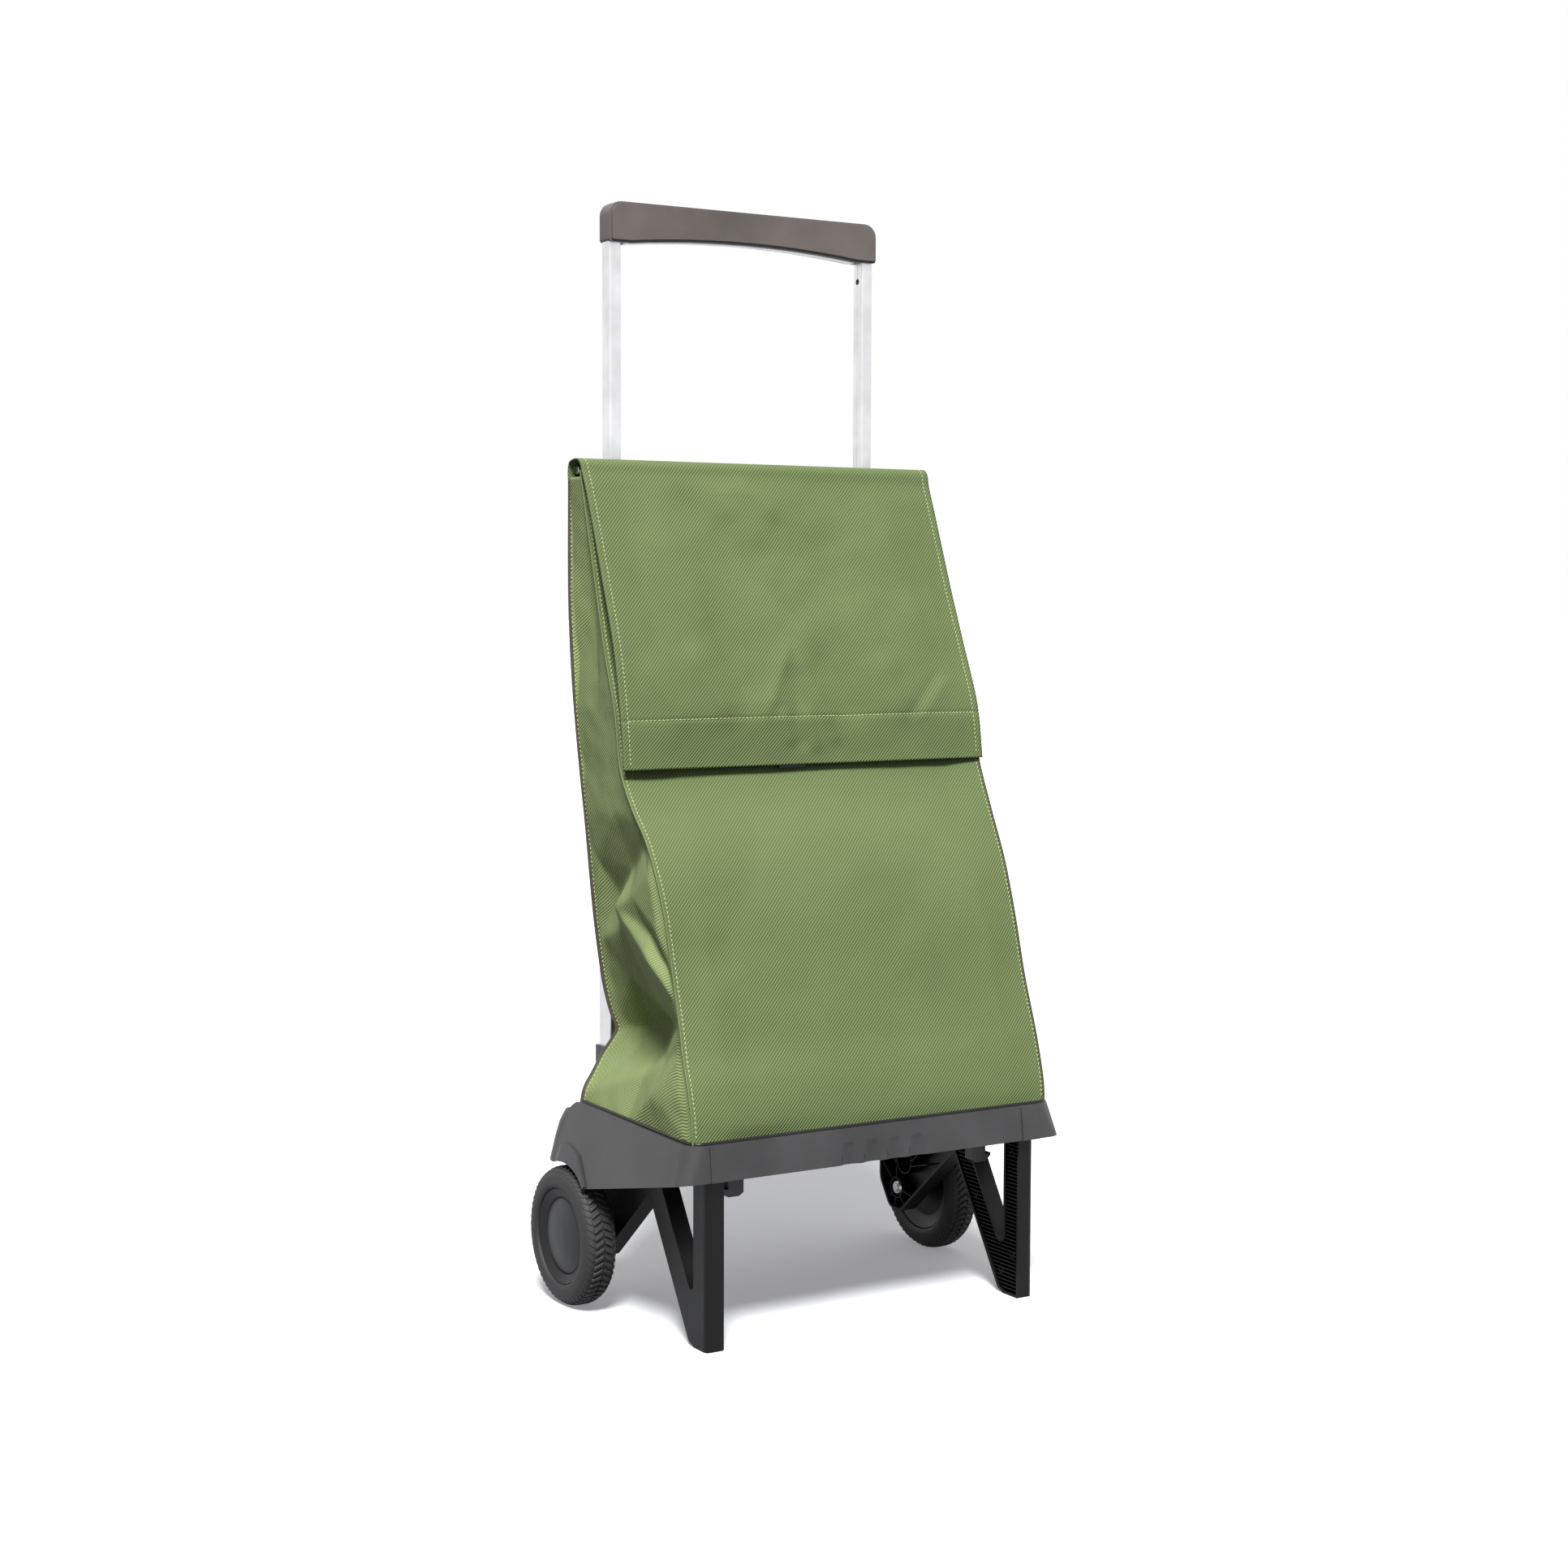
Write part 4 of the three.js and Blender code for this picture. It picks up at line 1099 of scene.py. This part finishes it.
# Folds of the flap as start, end, height and width, in x and distance down from the top edge.
FLAP_FOLDS = [
    ((-12, 188), (-46, 256), 1.7, 7), ((-6, 188), (22, 264), 1.5, 7), ((-10, 210), (-12, 256), -1.1, 10),
    ((-30, 252), (-20, 284), 1.2, 5), ((-4, 248), (8, 290), 1.5, 5), ((-16, 252), (-6, 288), -1.2, 5),
    ((20, 250), (30, 284), 1.1, 5), ((112, 262), (158, 214), -1.2, 6), ((122, 266), (168, 222), 0.9, 7),
    ((-128, 60), (-92, 190), 2.4, 24), ((-100, 30), (-30, 120), -2.2, 22), ((-54, 20), (-20, 90), 2.0, 12),
    ((-34, 16), (4, 60), 1.6, 9), ((-70, 16), (-48, 60), 1.2, 10), ((-120, 190), (-84, 262), 2.6, 14),
    ((-96, 150), (-60, 250), -2.2, 18), ((-40, 110), (10, 170), -1.6, 14), ((60, 130), (100, 220), 1.8, 24),
    ((46, 70), (70, 150), -1.4, 22), ((124, 40), (150, 190), 1.8, 20), ((20, 190), (56, 262), -1.8, 14),
    ((92, 200), (110, 262), 1.4, 12), ((-160, 40), (-150, 200), -1.4, 14),
    ((-168, 200), (-132, 268), 1.4, 12),
]


def flap_surface():
    rows, columns = 190, 130
    edges = []
    for profile, side in ((FLAP_LEFT, -1), (FLAP_RIGHT, 1)):
        line = smooth_line(profile, rows)
        xs = np.full(rows, side * FLAP_HALF)
        edges.append(np.stack([xs, line[:, 0] * 0.001, line[:, 1] * 0.001], axis=1))
    share = np.linspace(0, 1, columns)[None, :, None]
    flat = Surface(edges[0][:, None] * (1 - share) + edges[1][:, None] * share)
    xs = flat.points[..., 0] * 1000
    run = np.cumsum(np.linalg.norm(np.diff(flat.points[:, columns // 2], axis=0), axis=1)) * 1000
    down = np.concatenate([[0], run])[:, None] - STRIP_RUN + 0 * xs
    total = down[-1, 0]
    height = FOLD_SIZE * sum(fold(xs, down, *each) for each in FLAP_FOLDS)
    height += ripple(flat.points, 0.075, 1.8, 21) + ripple(flat.points, 0.024, 0.45, 22)
    belly = 3.5 * np.cos(np.pi * xs / 2 / FLAP_REACH) * np.clip(down / 120, 0, 1)
    height += belly * np.clip((total - down) / 60, 0, 1)
    ease = np.clip((down - 4) / 30, 0, 1) * np.clip((FLAP_REACH - np.abs(xs)) / 26, 0.12, 1)
    height *= ease
    hem_line = total - HEM_DEPTH
    height -= 0.7 * np.exp(-(((down - hem_line) / 1.5) ** 2))
    from_seam = np.abs(xs) - FLAP_REACH + STITCH_IN
    height -= 0.5 * np.exp(-((from_seam / 1.3) ** 2)) * np.clip(down / 10, 0, 1)
    return flat.moved(height * 0.001), total


def seam_frames(surface, column, rows, outward, shift):
    """Points beside a surface's edge with the directions across and out of a seam allowance."""
    found = []
    share = column / (surface.points.shape[1] - 1)
    for t in np.linspace(0, 1, rows):
        point, _ = surface.at(share, t)
        ahead, _ = surface.at(share, min(1, t + 0.01))
        behind, _ = surface.at(share, max(0, t - 0.01))
        along = (ahead - behind).normalized()
        out = outward - along * outward.dot(along)
        out.normalize()
        found.append((point + out * shift, out, along.cross(out).normalized()))
    return found


def fold_away(*pieces):
    """Gives each piece of bag cloth its own copy of its mesh."""
    for piece in pieces:
        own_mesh(piece)


def make_bag():
    front, back = front_surface(), back_surface()
    gussets = {name: gusset_surface(side) for name, side in SIDES}
    columns = front.points.shape[1] - 1
    sewn = []

    panel = cloth("bag_front", front, FRONT_TWILL, CLOTH, "uprights")
    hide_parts("bag_front_panel")
    rear = cloth("bag_back", back, FRONT_TWILL, CLOTH, "uprights")
    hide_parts("bag_back_panel")
    sewn += [panel, rear]

    turned = front.patch((0, 1), (0, 0.035), 60, 6, HEM_LIFT)
    top_hem = cloth("bag_front_hem", turned, FRONT_TWILL, CLOTH, "uprights")
    front_parts, rear_parts = [top_hem], []
    for name, side in SIDES:
        gusset = cloth(f"bag_{name}_side", gussets[name], SIDE_TWILL_PAINTED_LIGHTER, CLOTH, "uprights")
        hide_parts(f"bag_{name}_gusset")
        sewn.append(gusset)
        column = 0 if side < 0 else columns
        line = seam_frames(front, column, 160, Vector((side * 0.8, -0.6, 0)), mm(0.6))
        look = PLAIN_TWILL if side < 0 else BINDING
        welt = swept(f"{name}_front_welt", line, tape_section(mm(1.8), mm(1.7)), look, "uprights")
        rear_edge = 0 if side < 0 else back.points.shape[1] - 1
        line = seam_frames(back, rear_edge, 200, Vector((side * 0.9, 0.45, 0)), mm(1.0))
        section = tape_section(mm(3.6), mm(2.4))
        binding = swept(f"{name}_rear_binding", line, section, BINDING, "uprights")
        inset, rear_inset = 0.0075 if side < 0 else 0.9925, 0.022
        seams = [
            front.line((inset, 0.01), (inset, 0.99), 260, STITCH_LIFT),
            gussets[name].line((rear_inset, 0.02), (rear_inset, 0.99), 260, STITCH_LIFT),
        ]
        stitches = stitched(f"{name}_seam_stitches", seams, "uprights")
        front_parts.append(welt)
        rear_parts.append(binding)
        sewn += [welt, binding, stitches]
    sewn.append(top_hem)
    fold_away(*sewn)
    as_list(front_parts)
    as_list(rear_parts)


def make_flap():
    surface, total = flap_surface()
    loop = STRIP_RUN / (total + STRIP_RUN)
    hem_share = HEM_DEPTH / (total + STRIP_RUN)
    side_share = SIDE_HEM / (2 * FLAP_HALF * 1000)
    flap = cloth("flap_cloth", surface, FRONT_TWILL, CLOTH, None)
    turned = surface.patch((0.001, 0.999), (1 - hem_share, 0.9985), 130, 24, HEM_LIFT)
    hem = cloth("flap_bottom_hem", turned, FRONT_TWILL, HEM_CLOTH, None)
    bands = []
    for name, side in SIDES:
        across = (0.0005, side_share) if side < 0 else (1 - side_share, 0.9995)
        band = surface.patch(across, (loop, 1 - hem_share), 6, 120, HEM_LIFT)
        bands.append(cloth(f"flap_{name}_hem", band, FRONT_TWILL, HEM_CLOTH, None))
    stitch_in = STITCH_IN / (2 * FLAP_HALF * 1000)
    left, right, hem_top = stitch_in, 1 - stitch_in, 1 - hem_share
    seams = [
        surface.line((left, loop * 0.7), (left, 0.995), 220, STITCH_LIFT),
        surface.line((right, loop * 0.7), (right, 0.995), 220, STITCH_LIFT),
        surface.line((left, hem_top), (right, hem_top), 260, STITCH_LIFT),
    ]
    stitches = stitched("flap_stitches", seams, None)
    for piece in (flap, hem, *bands, stitches):
        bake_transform(piece)
    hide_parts("flap", "bag_top_strip")


def make_floor_cloth():
    low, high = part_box("bag_floor_panel")
    rows, columns = 40, 60
    ys = np.linspace(high.y, low.y, rows)[:, None] + np.zeros((1, columns))
    xs = np.linspace(low.x, high.x, columns)[None, :] + np.zeros((rows, 1))
    points = np.stack([xs, ys, np.full(xs.shape, (low.z + high.z) / 2)], axis=2)
    points[..., 2] += np.abs(ripple(points, 0.06, mm(0.8), 31))
    sheet = cloth("bag_floor_cloth", Surface(points), FRONT_TWILL, mm(1.0), "base")
    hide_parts("bag_floor_panel")


def make_buckle():
    refined("buckle_socket", BLACK_PLASTIC, "black_plastic", bevel=mm(1.0), segments=3)
    refined("buckle_plug", BLACK_PLASTIC, "black_plastic", bevel=mm(0.9), segments=3)


make_camera()
make_studio()
make_hard_parts()
for side_name, side_sign in SIDES:
    make_tyre(side_name)
    make_leg_ribs(side_name, side_sign)
make_bag()
make_flap()
make_floor_cloth()
make_buckle()
